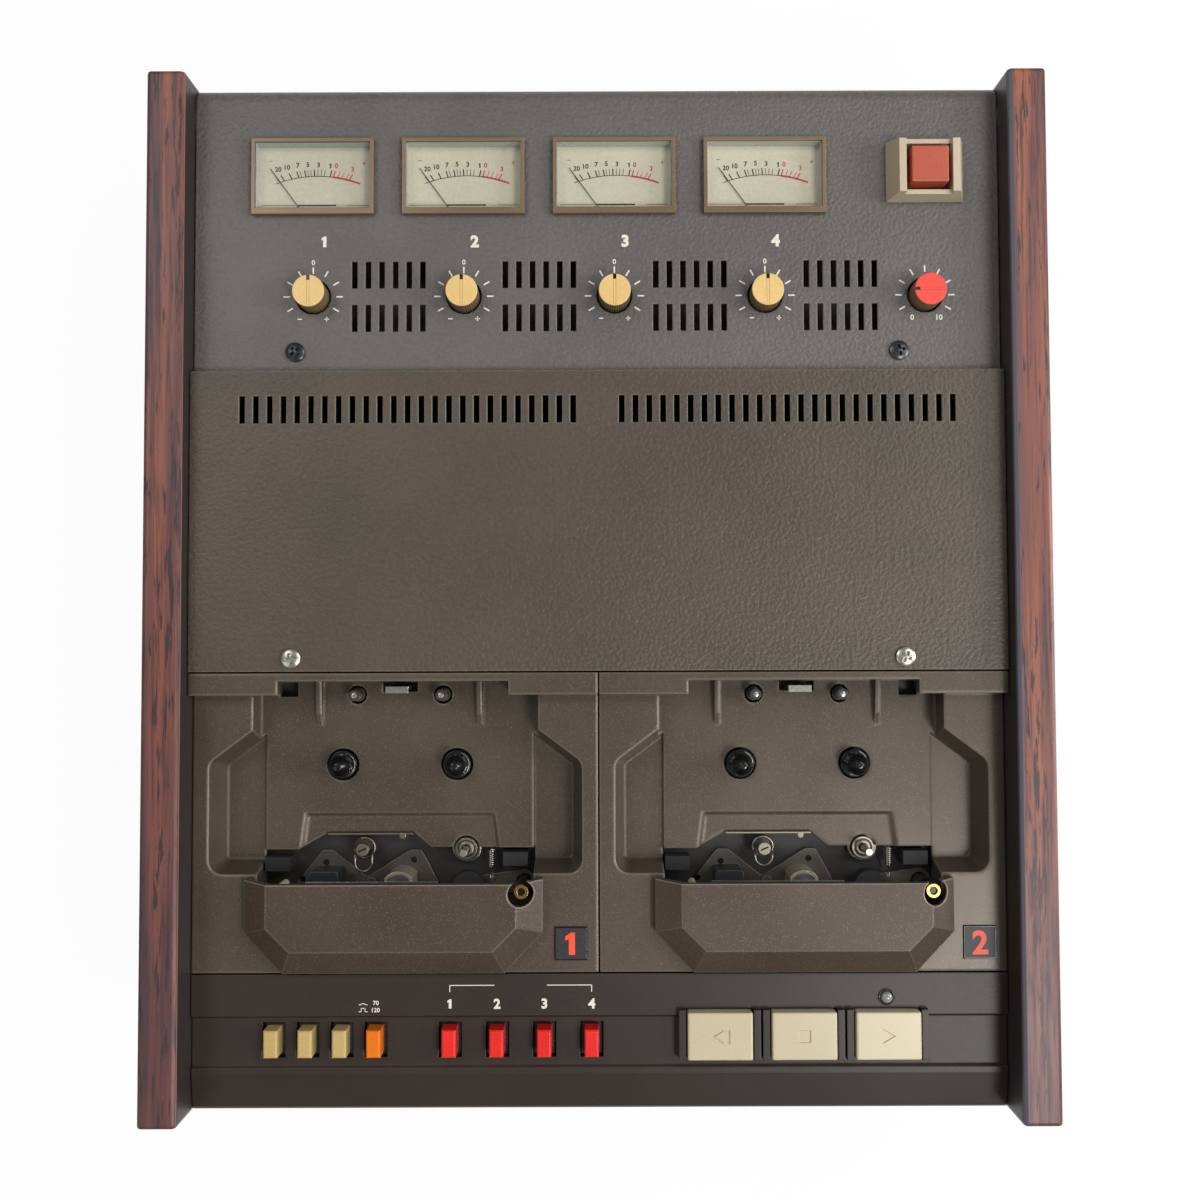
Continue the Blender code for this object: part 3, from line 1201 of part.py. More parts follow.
def make_transport_frame(role, datum):
    """The steel frame under a deck, with its pillars, pins, latch, bush, guide and pivot post."""
    name = f"transport_frame_{role}"
    plate_outline = rectangle(-FRAME_HALF_WIDTH, FRAME_HALF_WIDTH, -FRAME_FRONT, FRAME_REAR)
    running = SPINDLE_SHAFT_RADIUS + GAP
    holes = [circle(side * HUB_SPACING / 2, 0, running, SMALL_SIDES) for side in (-1, 1)]
    frame = place(name, slab(name, [plate_outline] + holes, FRAME_UNDERSIDE, FRAME_TOP), "dark_steel", datum)
    mid = FRAME_TOP - FRAME_SHEET / 2
    foot = TRAY_FLOOR + GAP
    pillars = [(side * PILLAR_REAR_X, PILLAR_REAR_Y) for side in (-1, 1)]
    pillars += [(side * PILLAR_FRONT_X, -PILLAR_FRONT_Y) for side in (-1, 1)]
    for index, (x, y) in enumerate(pillars):
        join(frame, post(f"pillar_{role}_{index}", x, y, PILLAR_RADIUS, foot, mid))
    for side in (-1, 1):
        x = side * PIN_X
        join(frame, post(f"pin_boss_{role}_{side}", x, PIN_Y, PIN_BOSS_RADIUS, mid, -PIN_BOSS_DROP))
        join(frame, post(f"pin_{role}_{side}", x, PIN_Y, PIN_RADIUS, mid, PIN_RISE))
    latch_half = LATCH_WIDTH / 2
    latch = [
        (LATCH_Y - LATCH_SHEET / 2, mid),
        (LATCH_Y + LATCH_SHEET / 2, mid),
        (LATCH_Y + LATCH_SHEET / 2, LATCH_RISE),
        (LATCH_Y - LATCH_LIP, LATCH_RISE),
        (LATCH_Y - LATCH_LIP, LATCH_RISE - LATCH_SHEET),
        (LATCH_Y - LATCH_SHEET / 2, LATCH_RISE - LATCH_SHEET),
    ]
    join(frame, bar(f"latch_{role}", latch, -latch_half, latch_half))
    join(frame, post(f"guide_pin_{role}", -GUIDE_X, -GUIDE_Y, GUIDE_PIN_RADIUS, mid, GUIDE_RISE))
    head_low = GUIDE_RISE - GUIDE_HEAD_THICKNESS
    join(frame, post(f"guide_head_{role}", -GUIDE_X, -GUIDE_Y, GUIDE_HEAD_RADIUS, head_low, GUIDE_RISE))
    ring = circle(-GUIDE_X, -GUIDE_Y, GUIDE_RING_RADIUS)
    ring_low = -GUIDE_RING_DROP - GUIDE_RING_THICKNESS
    join(frame, slab(f"guide_ring_{role}", [ring], ring_low, -GUIDE_RING_DROP))
    bush = circle(CAPSTAN_X, -CAPSTAN_Y, BUSH_RADIUS)
    join(frame, slab(f"bush_{role}", [bush], FRAME_UNDERSIDE, -BUSH_TOP_DROP))
    cap = circle(CAPSTAN_X, -CAPSTAN_Y, BUSH_CAP_RADIUS)
    join(frame, slab(f"bush_cap_{role}", [cap], FRAME_TOP, -BUSH_CAP_DROP))
    bore = CAPSTAN_RADIUS + GAP
    cut(frame, post(f"bush_bore_{role}", CAPSTAN_X, -CAPSTAN_Y, bore, FRAME_UNDERSIDE - OVERRUN, OVERRUN))
    join(frame, post(f"pivot_{role}", PIVOT_X, -PIVOT_Y, PIVOT_RADIUS, mid, PIVOT_RISE, HEX_SIDES))
    for side, x, y in ((-1, BRACKET_LEFT_X, BRACKET_LEFT_Y), (1, BRACKET_RIGHT_X, BRACKET_RIGHT_Y)):
        outline = centred_rectangle(side * x, -y, BRACKET_WIDTH, BRACKET_DEPTH)
        join(frame, slab(f"bracket_{role}_{side}", [outline], mid, BRACKET_RISE))


def make_spindles(role, datum):
    """Two spindles that turn the cassette's hubs, each with its drive wheel below the frame."""
    wheel_top = FRAME_UNDERSIDE - REEL_WHEEL_BELOW_FRAME
    profile = [
        (0, SPINDLE_RISE),
        (SPINDLE_TIP_RADIUS, SPINDLE_RISE),
        (SPINDLE_BODY_RADIUS, SPINDLE_CONE_RISE),
        (SPINDLE_BODY_RADIUS, SPINDLE_FLANGE_RISE),
        (SPINDLE_FLANGE_RADIUS, SPINDLE_FLANGE_RISE),
        (SPINDLE_FLANGE_RADIUS, -SPINDLE_FLANGE_DROP),
        (SPINDLE_SHAFT_RADIUS, -SPINDLE_FLANGE_DROP),
        (SPINDLE_SHAFT_RADIUS, wheel_top),
        (REEL_WHEEL_RADIUS, wheel_top),
        (REEL_WHEEL_RADIUS, wheel_top - REEL_WHEEL_THICKNESS),
        (0, wheel_top - REEL_WHEEL_THICKNESS),
    ]
    mesh = turned(f"spindle_{role}", profile)
    place(f"supply_spindle_{role}", mesh, "black_plastic", datum, (-HUB_SPACING / 2, 0, 0))
    place(f"takeup_spindle_{role}", mesh, "black_plastic", datum, (HUB_SPACING / 2, 0, 0))


def make_capstan(role, datum):
    """A capstan shaft with its flywheel."""
    name = f"capstan_{role}"
    fly_top = -FLYWHEEL_TOP_DROP
    fly_low = fly_top - FLYWHEEL_THICKNESS
    profile = [
        (0, CAPSTAN_RISE),
        (CAPSTAN_RADIUS, CAPSTAN_RISE),
        (CAPSTAN_RADIUS, fly_top),
        (FLYWHEEL_RADIUS, fly_top),
        (FLYWHEEL_RADIUS, fly_low),
        (CAPSTAN_RADIUS, fly_low),
        (CAPSTAN_RADIUS, fly_low - CAPSTAN_TAIL),
        (0, fly_low - CAPSTAN_TAIL),
    ]
    place(name, turned(name, profile, FINE_SIDES), "bright_steel", datum, (CAPSTAN_X, -CAPSTAN_Y, 0))


def make_motor(top_datum):
    """The motor between the decks, with a bore for the pulley's shaft."""
    top = -MOTOR_TOP_DROP
    low = TRAY_FLOOR + GAP
    edge = MOTOR_RADIUS - MOTOR_EDGE
    profile = [(0, top), (edge, top), (MOTOR_RADIUS, top - MOTOR_EDGE), (MOTOR_RADIUS, low), (0, low)]
    where = (0, MOTOR_Y, 0)
    mesh = turned("capstan_motor", profile, FINE_SIDES)
    motor = place("capstan_motor", mesh, "grey_steel", top_datum, where)
    bore_low = top - MOTOR_SHAFT_DEPTH - GAP
    cut(motor, post("motor_bore", 0, 0, MOTOR_SHAFT_RADIUS + GAP, bore_low, top + OVERRUN), where)


def make_pulley(top_datum):
    """The motor's pulley, two flanges and the groove between them, on its shaft."""
    rim = PULLEY_RADIUS + PULLEY_FLANGE
    half = BELT_HEIGHT / 2 + GAP
    edge = half + PULLEY_FLANGE_THICKNESS
    shaft_low = -MOTOR_TOP_DROP - MOTOR_SHAFT_DEPTH
    profile = [
        (0, BELT_Z + edge),
        (rim, BELT_Z + edge),
        (rim, BELT_Z + half),
        (PULLEY_RADIUS, BELT_Z + half),
        (PULLEY_RADIUS, BELT_Z - half),
        (rim, BELT_Z - half),
        (rim, BELT_Z - edge),
        (MOTOR_SHAFT_RADIUS, BELT_Z - edge),
        (MOTOR_SHAFT_RADIUS, shaft_low),
        (0, shaft_low),
    ]
    place("motor_pulley", turned("motor_pulley", profile), "bright_steel", top_datum, (0, MOTOR_Y, 0))


def make_belt(top_datum):
    """The drive belt, a tight loop round both flywheels and the motor's pulley."""
    outlines = []
    for grow in (GAP + BELT_THICKNESS, GAP):
        ring = circle(0, MOTOR_Y, PULLEY_RADIUS + grow, FINE_SIDES)
        for centre in DECK_CENTRES.values():
            ring += circle(centre + CAPSTAN_X, CAPSTAN_LINE_Y, FLYWHEEL_RADIUS + grow, FINE_SIDES)
        outlines.append(hull(ring))
    belt = slab("drive_belt", outlines, BELT_Z - BELT_HEIGHT / 2, BELT_Z + BELT_HEIGHT / 2)
    place("drive_belt", belt, "rubber", top_datum)


def carriage_outline():
    """The head carriage: a plate with two triangular lobes that point at the cassette."""
    apex = -LOBE_APEX_Y
    return [
        (-CARRIAGE_LEFT, -CARRIAGE_FRONT),
        (CARRIAGE_RIGHT, -CARRIAGE_FRONT),
        (CARRIAGE_RIGHT, -LOBE_SHOULDER_Y),
        (LOBE_RIGHT_X + LOBE_TIP, apex),
        (LOBE_RIGHT_X - LOBE_TIP, apex),
        (-LOBE_VALLEY_X, -LOBE_VALLEY_Y),
        (-LOBE_LEFT_X + LOBE_TIP, apex),
        (-LOBE_LEFT_X - LOBE_TIP, apex),
        (-CARRIAGE_LEFT, -LOBE_SHOULDER_Y),
    ]


def erase_head_outline():
    """The erase head: a block with rounded corners, seen from above."""
    middle = -HEAD_FACE_Y - ERASE_HEAD_DEPTH / 2
    face = centred_rectangle(-ERASE_HEAD_X, middle, ERASE_HEAD_WIDTH, ERASE_HEAD_DEPTH)
    return fillet(face, ERASE_HEAD_ROUNDING, CORNER_STEPS)


def record_head_outline():
    """The record and playback head: a block whose face bulges towards the tape as an arc."""
    half = RECORD_HEAD_WIDTH / 2
    reach = math.asin(half / RECORD_FACE_RADIUS)
    centre_y = -HEAD_FACE_Y - RECORD_FACE_RADIUS
    outline = [
        (RECORD_HEAD_X - half, -HEAD_FACE_Y - RECORD_HEAD_DEPTH),
        (RECORD_HEAD_X + half, -HEAD_FACE_Y - RECORD_HEAD_DEPTH),
    ]
    for step in range(HEAD_FACE_STEPS + 1):
        angle = reach - 2 * reach * step / HEAD_FACE_STEPS
        x = RECORD_HEAD_X + RECORD_FACE_RADIUS * math.sin(angle)
        outline.append((x, centre_y + RECORD_FACE_RADIUS * math.cos(angle)))
    return outline


def make_head_carriage(role, datum):
    """The sliding plate with the erase head and the record and playback head."""
    name = f"head_carriage_{role}"
    outline = fillet(carriage_outline(), LOBE_ROUNDING, BEVEL_SEGMENTS)
    carriage = place(name, slab(name, [outline], SEAT_ON_FRAME, CARRIAGE_TOP), "grey_steel", datum)
    low = CARRIAGE_TOP - CARRIAGE_SHEET / 2
    join(carriage, slab(f"erase_head_{role}", [erase_head_outline()], low, HEAD_TOP_RISE))
    join(carriage, slab(f"record_head_{role}", [record_head_outline()], low, HEAD_TOP_RISE))


def make_pinch_roller(role, datum):
    """The arm that swings on the pivot post, and the rubber roller on its axle."""
    reach = ROLLER_X - PIVOT_X
    lift = PIVOT_Y - ROLLER_Y
    pivot = (PIVOT_X, -PIVOT_Y, 0)
    ends = circle(0, 0, ARM_HUB_RADIUS) + circle(reach, lift, ARM_END_RADIUS, SMALL_SIDES)
    hole = circle(0, 0, PIVOT_RADIUS + GAP, SMALL_SIDES)
    name = f"pinch_arm_{role}"
    sheet = slab(name, [hull(ends), hole], SEAT_ON_FRAME, CARRIAGE_TOP)
    arm = place(name, sheet, "grey_steel", datum, pivot)
    low = SEAT_ON_FRAME + CARRIAGE_SHEET / 2
    join(arm, post(f"axle_{role}", reach, lift, AXLE_RADIUS, low, AXLE_RISE), pivot)
    ring = [circle(0, 0, ROLLER_RADIUS, FINE_SIDES), circle(0, 0, AXLE_RADIUS + GAP, SMALL_SIDES)]
    name = f"pinch_roller_{role}"
    roller = slab(name, ring, -ROLLER_DROP, ROLLER_RISE)
    place(name, smooth(roller), "rubber", datum, (ROLLER_X, -ROLLER_Y, 0))


def make_transformer(top_datum):
    """The mains transformer on the tray: a laminated core with its coil through it."""
    low = TRAY_FLOOR + GAP
    high = METER_CASE_LOW - CORE_HEADROOM
    where = (PANEL_HALF_WIDTH - TRANSFORMER_FROM_SIDE, REAR_Y - TRANSFORMER_FROM_REAR, 0)
    core = block("transformer", CORE_WIDTH, CORE_DEPTH, low, high)
    transformer = place("transformer", core, "dark_steel", top_datum, where)
    coil = block("transformer_coil", COIL_WIDTH, COIL_DEPTH, low + COIL_INSET, high - COIL_INSET)
    join(transformer, coil, where)


clear_scene()
PARTS = make_collection("cassette_duplicator")
CUTTERS = make_collection("cutters")

TOP_DATUM = make_datum("well_floor_datum", (0, 0, WELL_FLOOR_Z))
make_cheeks()
make_feet()
make_chassis_tray(TOP_DATUM)
make_rear_panel(TOP_DATUM)
make_meter_panel(TOP_DATUM)
make_mid_cover(TOP_DATUM)
for meter_number, meter_x in enumerate(KNOB_XS, start=1):
    make_meter(meter_number, meter_x, TOP_DATUM)
    make_needle(meter_number, meter_x, TOP_DATUM)
make_knobs(TOP_DATUM)
make_circuit_board(TOP_DATUM)
make_power_switch(TOP_DATUM)
make_control_panel(TOP_DATUM)
make_small_buttons(TOP_DATUM)
make_keys(TOP_DATUM)
make_motor(TOP_DATUM)
make_pulley(TOP_DATUM)
make_belt(TOP_DATUM)
make_transformer(TOP_DATUM)
for deck_role, deck_x in DECK_CENTRES.items():
    DECK_DATUM = make_datum(f"{deck_role}_datum", (deck_x, HUB_LINE_Y, WELL_FLOOR_Z))
    make_deck_plate(deck_role, DECK_DATUM)
    make_head_cover(deck_role, DECK_DATUM)
    make_transport_frame(deck_role, DECK_DATUM)
    make_spindles(deck_role, DECK_DATUM)
    make_capstan(deck_role, DECK_DATUM)
    make_head_carriage(deck_role, DECK_DATUM)
    make_pinch_roller(deck_role, DECK_DATUM)

visible = [piece.name for piece in PARTS.objects if piece.type == "MESH"]
print(len(visible), "pieces:", ", ".join(visible))
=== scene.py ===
# %% [markdown]
# # A cassette duplicator, from working model to finished look
# The machine copies one cassette to another: a master deck on the left, a slave deck on the right,
# four level meters behind them and a row of keys in front. The working model arrives packed, with
# every moving piece on its own body. This lesson dresses it. Pieces whose shape is already right
# keep it and get a finish, and small pieces with finer detail are worked out here with numpy.

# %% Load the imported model
import math

import bmesh
import bpy
import numpy as np
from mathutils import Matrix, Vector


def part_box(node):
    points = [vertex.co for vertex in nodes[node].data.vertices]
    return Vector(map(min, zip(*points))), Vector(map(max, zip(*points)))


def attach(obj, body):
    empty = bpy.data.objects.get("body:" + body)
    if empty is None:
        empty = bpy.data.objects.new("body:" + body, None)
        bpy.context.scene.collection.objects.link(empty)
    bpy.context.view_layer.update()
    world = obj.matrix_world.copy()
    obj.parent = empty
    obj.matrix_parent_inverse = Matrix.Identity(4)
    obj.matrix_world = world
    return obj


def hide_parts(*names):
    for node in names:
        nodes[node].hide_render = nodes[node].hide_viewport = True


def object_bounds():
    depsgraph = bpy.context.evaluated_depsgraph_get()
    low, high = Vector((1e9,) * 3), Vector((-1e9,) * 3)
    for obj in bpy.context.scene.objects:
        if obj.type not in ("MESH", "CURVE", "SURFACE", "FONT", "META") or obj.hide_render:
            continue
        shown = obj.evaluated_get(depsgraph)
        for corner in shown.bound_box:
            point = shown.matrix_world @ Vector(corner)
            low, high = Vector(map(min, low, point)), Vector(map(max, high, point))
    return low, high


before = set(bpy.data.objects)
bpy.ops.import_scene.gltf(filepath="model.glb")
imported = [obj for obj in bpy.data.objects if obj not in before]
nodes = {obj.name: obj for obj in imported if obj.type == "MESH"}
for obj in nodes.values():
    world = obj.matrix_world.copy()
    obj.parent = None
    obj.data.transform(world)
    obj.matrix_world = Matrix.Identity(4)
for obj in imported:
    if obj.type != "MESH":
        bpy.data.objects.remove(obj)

packed_low, packed_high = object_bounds()
MM = 0.001
print("nodes:", len(nodes), "size in mm:", [round(side / MM, 1) for side in packed_high - packed_low])

# %% [markdown]
# ## Colours and nodes
# A colour is written as the sRGB hex code that a painter's chart or a photograph gives. Blender's
# shaders add light, so they need it linear. One function does that everywhere. A second one adds a
# node to a material, which keeps each finish as short as its recipe.

# %% Colour and node helpers
def linear(code):
    """A hex colour as linear RGBA: a channel is divided by 12.92 when dark, else raised to 2.4."""
    channel = np.array([int(code[place:place + 2], 16) for place in (0, 2, 4)]) / 255
    bright = ((channel + 0.055) / 1.055) ** 2.4
    return (*np.where(channel <= 0.04045, channel / 12.92, bright).tolist(), 1.0)


def add(tree, kind, inputs=None, **settings):
    """Adds one node with its settings; an input takes a value or another node's output."""
    made = tree.nodes.new("ShaderNode" + kind)
    for setting, value in settings.items():
        setattr(made, setting, value)
    for socket, value in (inputs or {}).items():
        if isinstance(value, bpy.types.NodeSocket):
            tree.links.new(value, made.inputs[socket])
        else:
            made.inputs[socket].default_value = value
    return made


def start_finish(name, **values):
    """A new material with its tree and Principled shader; values go straight to the sockets."""
    material = bpy.data.materials.new(name)
    material.use_nodes = True
    tree = material.node_tree
    shader = tree.nodes["Principled BSDF"]
    for socket, value in values.items():
        shader.inputs[socket.replace("_", " ")].default_value = value
    return material, tree, shader


def ramp(tree, factor, *stops):
    """A colour ramp with a stop for each (position, hex colour)."""
    made = add(tree, "ValToRGB", {"Fac": factor})
    elements = made.color_ramp.elements
    while len(elements) < len(stops):
        elements.new(0.5)
    for element, (position, code) in zip(elements, stops):
        element.position = position
        element.color = linear(code)
    return made.outputs["Color"]


print("colour check, mid grey:", round(linear("808080")[0], 3))

# %% [markdown]
# ## A finish with a fine grain
# Paint on sheet metal and moulded plastic have the same build: a colour that drifts a little, a
# grain that lifts the surface by hundredths of a millimetre, and edges that are never quite sharp.
# The Bevel node rounds the light on edges without more faces. Where the rounded and the true
# normal part, the surface is an edge, and there the finish is painted paler: partly wear from
# handling, partly a painted highlight along the edge. An inner corner looks the same to that test,
# so ambient occlusion, which is dark only in corners, rules it out.

# %% Grained finish
DRIFT_LENGTH = 38 * MM      # length over which a colour drifts
CORNER_REACH = 1.2 * MM     # how far a corner's shade reaches


def worn_edge(tree, rounded, share):
    """How much an edge is painted paler, as wear and as a painted highlight: 0 on a flat or in a corner,
    up to share on an outer edge.
    """
    true = add(tree, "NewGeometry").outputs["Normal"]
    turn = add(tree, "VectorMath", {0: rounded, 1: true}, operation="DOT_PRODUCT")
    edge = add(tree, "MapRange", {"Value": turn.outputs["Value"], "From Min": 0.995, "From Max": 0.85,
                                  "To Min": 0.0, "To Max": share})
    shade = add(tree, "AmbientOcclusion", {"Distance": CORNER_REACH}, samples=4)
    open_air = add(tree, "MapRange", {"Value": shade.outputs["AO"], "From Min": 0.75, "From Max": 0.95})
    wear_and_highlight = add(tree, "Math", {0: edge.outputs[0], 1: open_air.outputs[0]}, operation="MULTIPLY")
    return wear_and_highlight.outputs[0]


def grained(name, base, accent, edge, grain, lift, rough=0.5, rounding=0.35 * MM, fleck=None,
            edge_share=0.35, below=None, **values):
    """Noise mixes base and accent and lifts the normal; edge is the colour of edges, worn and with
    a painted highlight, and below gives a height and the colour of all that lies under it."""
    material, tree, shader = start_finish(name, **values)
    where = add(tree, "TexCoord").outputs["Object"]
    fine = add(tree, "TexNoise", {"Vector": where, "Scale": 1 / grain, "Detail": 3.0})
    broad = add(tree, "TexNoise", {"Vector": where, "Scale": 1 / DRIFT_LENGTH, "Detail": 2.0})
    both = add(tree, "Math", {0: fine.outputs["Fac"], 1: broad.outputs["Fac"]}, operation="ADD")
    colour = ramp(tree, add(tree, "Math", {0: both.outputs[0], 1: 0.5}, operation="MULTIPLY").outputs[0],
                  (0.38, base), (0.62, accent))
    if fleck:
        colour = add_fleck(tree, where, colour, fleck)
    bevel = add(tree, "Bevel", {"Radius": rounding}, samples=6)
    # Edges are painted paler: partly wear from handling, partly a painted highlight along them.
    wear_and_highlight = worn_edge(tree, bevel.outputs[0], edge_share)
    mixed = add(tree, "Mix", {0: wear_and_highlight, 6: colour, 7: linear(edge)}, data_type="RGBA")
    if below:
        height = add(tree, "SeparateXYZ", {"Vector": where}).outputs["Z"]
        under = add(tree, "Math", {0: height, 1: below[0]}, operation="LESS_THAN")
        mixed = add(tree, "Mix", {0: under.outputs[0], 6: mixed.outputs[2], 7: linear(below[1])},
                    data_type="RGBA")
    gloss = add(tree, "MapRange", {"Value": fine.outputs["Fac"], "To Min": rough - 0.06,
                                   "To Max": rough + 0.08})
    bump = add(tree, "Bump", {"Height": fine.outputs["Fac"], "Distance": lift, "Strength": 1.0,
                              "Normal": bevel.outputs[0]})
    tree.links.new(mixed.outputs[2], shader.inputs["Base Color"])
    tree.links.new(gloss.outputs[0], shader.inputs["Roughness"])
    tree.links.new(bump.outputs[0], shader.inputs["Normal"])
    return material


def add_fleck(tree, where, colour, fleck):
    """Scatters bright flecks: cells of a Voronoi pattern whose random value is near the top."""
    size, share, code = fleck
    cells = add(tree, "TexVoronoi", {"Vector": where, "Scale": 1 / size})
    lot = add(tree, "SeparateColor", {"Color": cells.outputs["Color"]})
    chosen = add(tree, "Math", {0: lot.outputs[0], 1: 1 - share}, operation="GREATER_THAN")
    core = add(tree, "Math", {0: cells.outputs["Distance"], 1: 0.42}, operation="LESS_THAN")
    spot = add(tree, "Math", {0: chosen.outputs[0], 1: core.outputs[0]}, operation="MULTIPLY")
    mixed = add(tree, "Mix", {0: spot.outputs[0], 6: colour, 7: linear(code)}, data_type="RGBA")
    return mixed.outputs[2]


print("grain helper ready")

# %% [markdown]
# ## Paints of the panels
# The meter panel and the middle cover are folded steel with a stoved paint of warm grey, sprayed
# so that it dries in small ripples like leather. The deck plates and head covers are mouldings
# sprayed bronze, a brown base with aluminium flecks. Real flecks are near 0.05 mm and would vanish
# in the picture, so they are drawn at 0.5 mm.

# %% Panel paints
finishes = {
    # Stoved enamel: soft satin, ripples about a millimetre apart.
    "panel_enamel": grained("panel_enamel_grey", "5b5653", "66615d", "a8a29a", 1.4 * MM, 0.42 * MM,
                            rough=0.42, rounding=0.9 * MM, edge_share=0.25, IOR=1.5),
    "cover_enamel": grained("cover_enamel_brown", "494037", "53483e", "c4b8a6", 1.4 * MM, 0.38 * MM,
                            rough=0.4, rounding=0.9 * MM, edge_share=0.3, IOR=1.5),
    # Bronze fleck paint over ABS: a little metallic, with bright specks.
    # Pale edges on both bronzes: a painted highlight along the lips, with some wear.
    "deck_bronze": grained("deck_bronze_fleck", "4e443a", "5b5046", "b8ab99", 0.5 * MM, 0.035 * MM,
                           rough=0.34, rounding=1.6 * MM, edge_share=0.4,
                           fleck=(0.5 * MM, 0.16, "6a5f52"), Metallic=0.25, IOR=1.5),
    "hood_bronze": grained("hood_bronze_fleck", "45392f", "51443a", "ccbfb0", 0.5 * MM, 0.035 * MM,
                           rough=0.46, rounding=1.1 * MM, edge_share=0.55,
                           fleck=(0.5 * MM, 0.16, "66594f"), Metallic=0.25, IOR=1.5),
}
print("paints:", sorted(finishes))

# %% [markdown]
# ## Moulded plastics, rubber and metals
# Buttons and keys are ABS, moulded in colour with a fine spark-eroded grain. Feet, belt and pinch
# rollers are rubber, dull because its surface is open. Metals keep Blender's own IOR: their colour
# is their reflection. Plated steel and brass are smooth, stamped steel and sintered bronze duller.

# %% Plastics, rubber and metals
SPINDLE_RISE = 10.5 * MM
HOLE_SHADE_RISE = 7.2 * MM
WELL_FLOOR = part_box("supply_spindle_master")[1].z - SPINDLE_RISE
# Under this height a small button stands down in the panel's hole, and there it is painted near black:
# painted shade of the hole.
BUTTON_HOLE_SHADE = (WELL_FLOOR + HOLE_SHADE_RISE, "0e0e0f")

finishes |= {
    "black_abs": grained("black_abs_grained", "2a211a", "332821", "746a5f", 0.5 * MM, 0.02 * MM,
                         rough=0.42, rounding=0.6 * MM, edge_share=0.3, IOR=1.45),
    "cream_abs": grained("cream_abs_moulded", "bdb090", "c8bb9c", "ece2c8", 0.6 * MM, 0.008 * MM,
                         rough=0.36, IOR=1.52),
    "straw_abs": grained("straw_abs_moulded", "b89d60", "c8ad70", "e2ce98", 0.6 * MM, 0.008 * MM,
                         rough=0.36, below=BUTTON_HOLE_SHADE, IOR=1.52),
    "orange_abs": grained("orange_abs_moulded", "e06a00", "ee7a02", "ffa040", 0.6 * MM, 0.008 * MM,
                          rough=0.34, below=BUTTON_HOLE_SHADE, IOR=1.52),
    "red_abs": grained("red_abs_moulded", "dc1a14", "ee2a20", "ff6450", 0.6 * MM, 0.008 * MM,
                       rough=0.34, below=BUTTON_HOLE_SHADE, IOR=1.52),
    "power_abs": grained("power_abs_moulded", "a8472f", "b6553a", "e08a68", 0.6 * MM, 0.008 * MM,
                         rough=0.4, IOR=1.52),
    "guard_paint": grained("guard_champagne_paint", "b8a890", "c6b69c", "d8cab0", 0.5 * MM, 0.01 * MM,
                           rough=0.4, Metallic=0.15, IOR=1.5),
    "bezel_paint": grained("bezel_champagne_paint", "77644b", "8b765b", "c8b490", 0.5 * MM, 0.01 * MM,
                           rough=0.34, Metallic=0.35, IOR=1.5),
    "gloss_black": grained("gloss_black_abs", "0d0d0e", "161617", "3c3c3e", 0.8 * MM, 0.004 * MM,
                           rough=0.2, rounding=0.25 * MM, IOR=1.52),
    "rubber": grained("black_nitrile_rubber", "171719", "212124", "34343a", 0.5 * MM, 0.02 * MM,
                      rough=0.72, IOR=1.52),
    "needle_paint": grained("needle_grey_paint", "2a2c2f", "35373b", "4a4c50", 0.4 * MM, 0.002 * MM,
                            rough=0.5, rounding=0.1 * MM, IOR=1.5),
    "plated_steel": grained("nickel_plated_steel", "b5b1a8", "ccc8be", "efece4", 0.8 * MM, 0.001 * MM,
                            rough=0.3, rounding=0.2 * MM, Metallic=1.0),
    # Its pale edges are mostly a painted highlight along the stamped edges, with some wear.
    "stamped_steel": grained("stamped_steel_blacked", "55514b", "625d55", "b8b0a2", 0.7 * MM, 0.01 * MM,
                             rough=0.42, rounding=0.35 * MM, edge_share=0.7, Metallic=0.4),
    "frame_steel": grained("frame_steel_black_paint", "322f2c", "3d3936", "66605a", 0.8 * MM, 0.01 * MM,
                           rough=0.46, Metallic=0.1, IOR=1.5),
    "zinc_steel": grained("zinc_plated_steel", "8e8f8d", "a3a3a0", "c8c8c4", 2.5 * MM, 0.01 * MM,
                          rough=0.38, Metallic=1.0),
    "brass": grained("machined_brass", "a8884c", "bc9c5e", "e2c890", 0.8 * MM, 0.001 * MM,
                     rough=0.28, rounding=0.2 * MM, Metallic=1.0),
    "bearing_metal": grained("sintered_bronze", "8a8272", "9c9484", "c4bca8", 0.6 * MM, 0.003 * MM,
                             rough=0.36, rounding=0.15 * MM, Metallic=1.0),
    "head_can": grained("mu_metal_can", "b9ae98", "c8bda6", "ece4d2", 0.8 * MM, 0.002 * MM,
                        rough=0.3, rounding=0.3 * MM, Metallic=0.6),
    "erase_moulding": grained("erase_head_moulding", "212326", "2a2d31", "7c8088", 0.6 * MM, 0.006 * MM,
                              rough=0.35, rounding=0.3 * MM, edge_share=0.6, IOR=1.52),
    "red_core": grained("red_socket_core", "b02018", "c02c22", "d86050", 0.6 * MM, 0.004 * MM,
                        rough=0.4, IOR=1.52),
    "board_laminate": grained("brown_phenolic_board", "2c241b", "392e22", "6d5c48", 0.7 * MM, 0.01 * MM,
                              rough=0.4, IOR=1.5),
}
print("finishes so far:", len(finishes))

# %% [markdown]
# ## Rosewood cheeks
# The side cheeks are veneered board. Rosewood grows in rings that the saw meets nearly end to end,
# so its stripes run along the board: broad bands of orange and purple brown, thin dark streaks,
# and short open pores. The pattern is noise stretched along Y, at real widths. The ends carry
# strips of veneer with upright grain, so there height and depth change places. The inner face of
# each cheek is bare board, stained dark.

# %% Rosewood
INNER_PLANE = 147.9 * MM
LENGTHWAYS = 0.035          # how much slower the grain changes along the board than across it
PORE_LENGTHWAYS = 0.1
WANDER_LENGTH = 16 * MM
BAND_WIDTH = 6 * MM
PATCH_WIDTH = 7 * MM
PORE_WIDTH = 1.5 * MM
STREAK_WIDTH = 1.1 * MM
# Edging tape: the cheek's side, the tape's width and its colour.
EDGE_STRIPS = ((-1.0, 0.4 * MM, "94625a"), (1.0, 2.0 * MM, "54505a"))


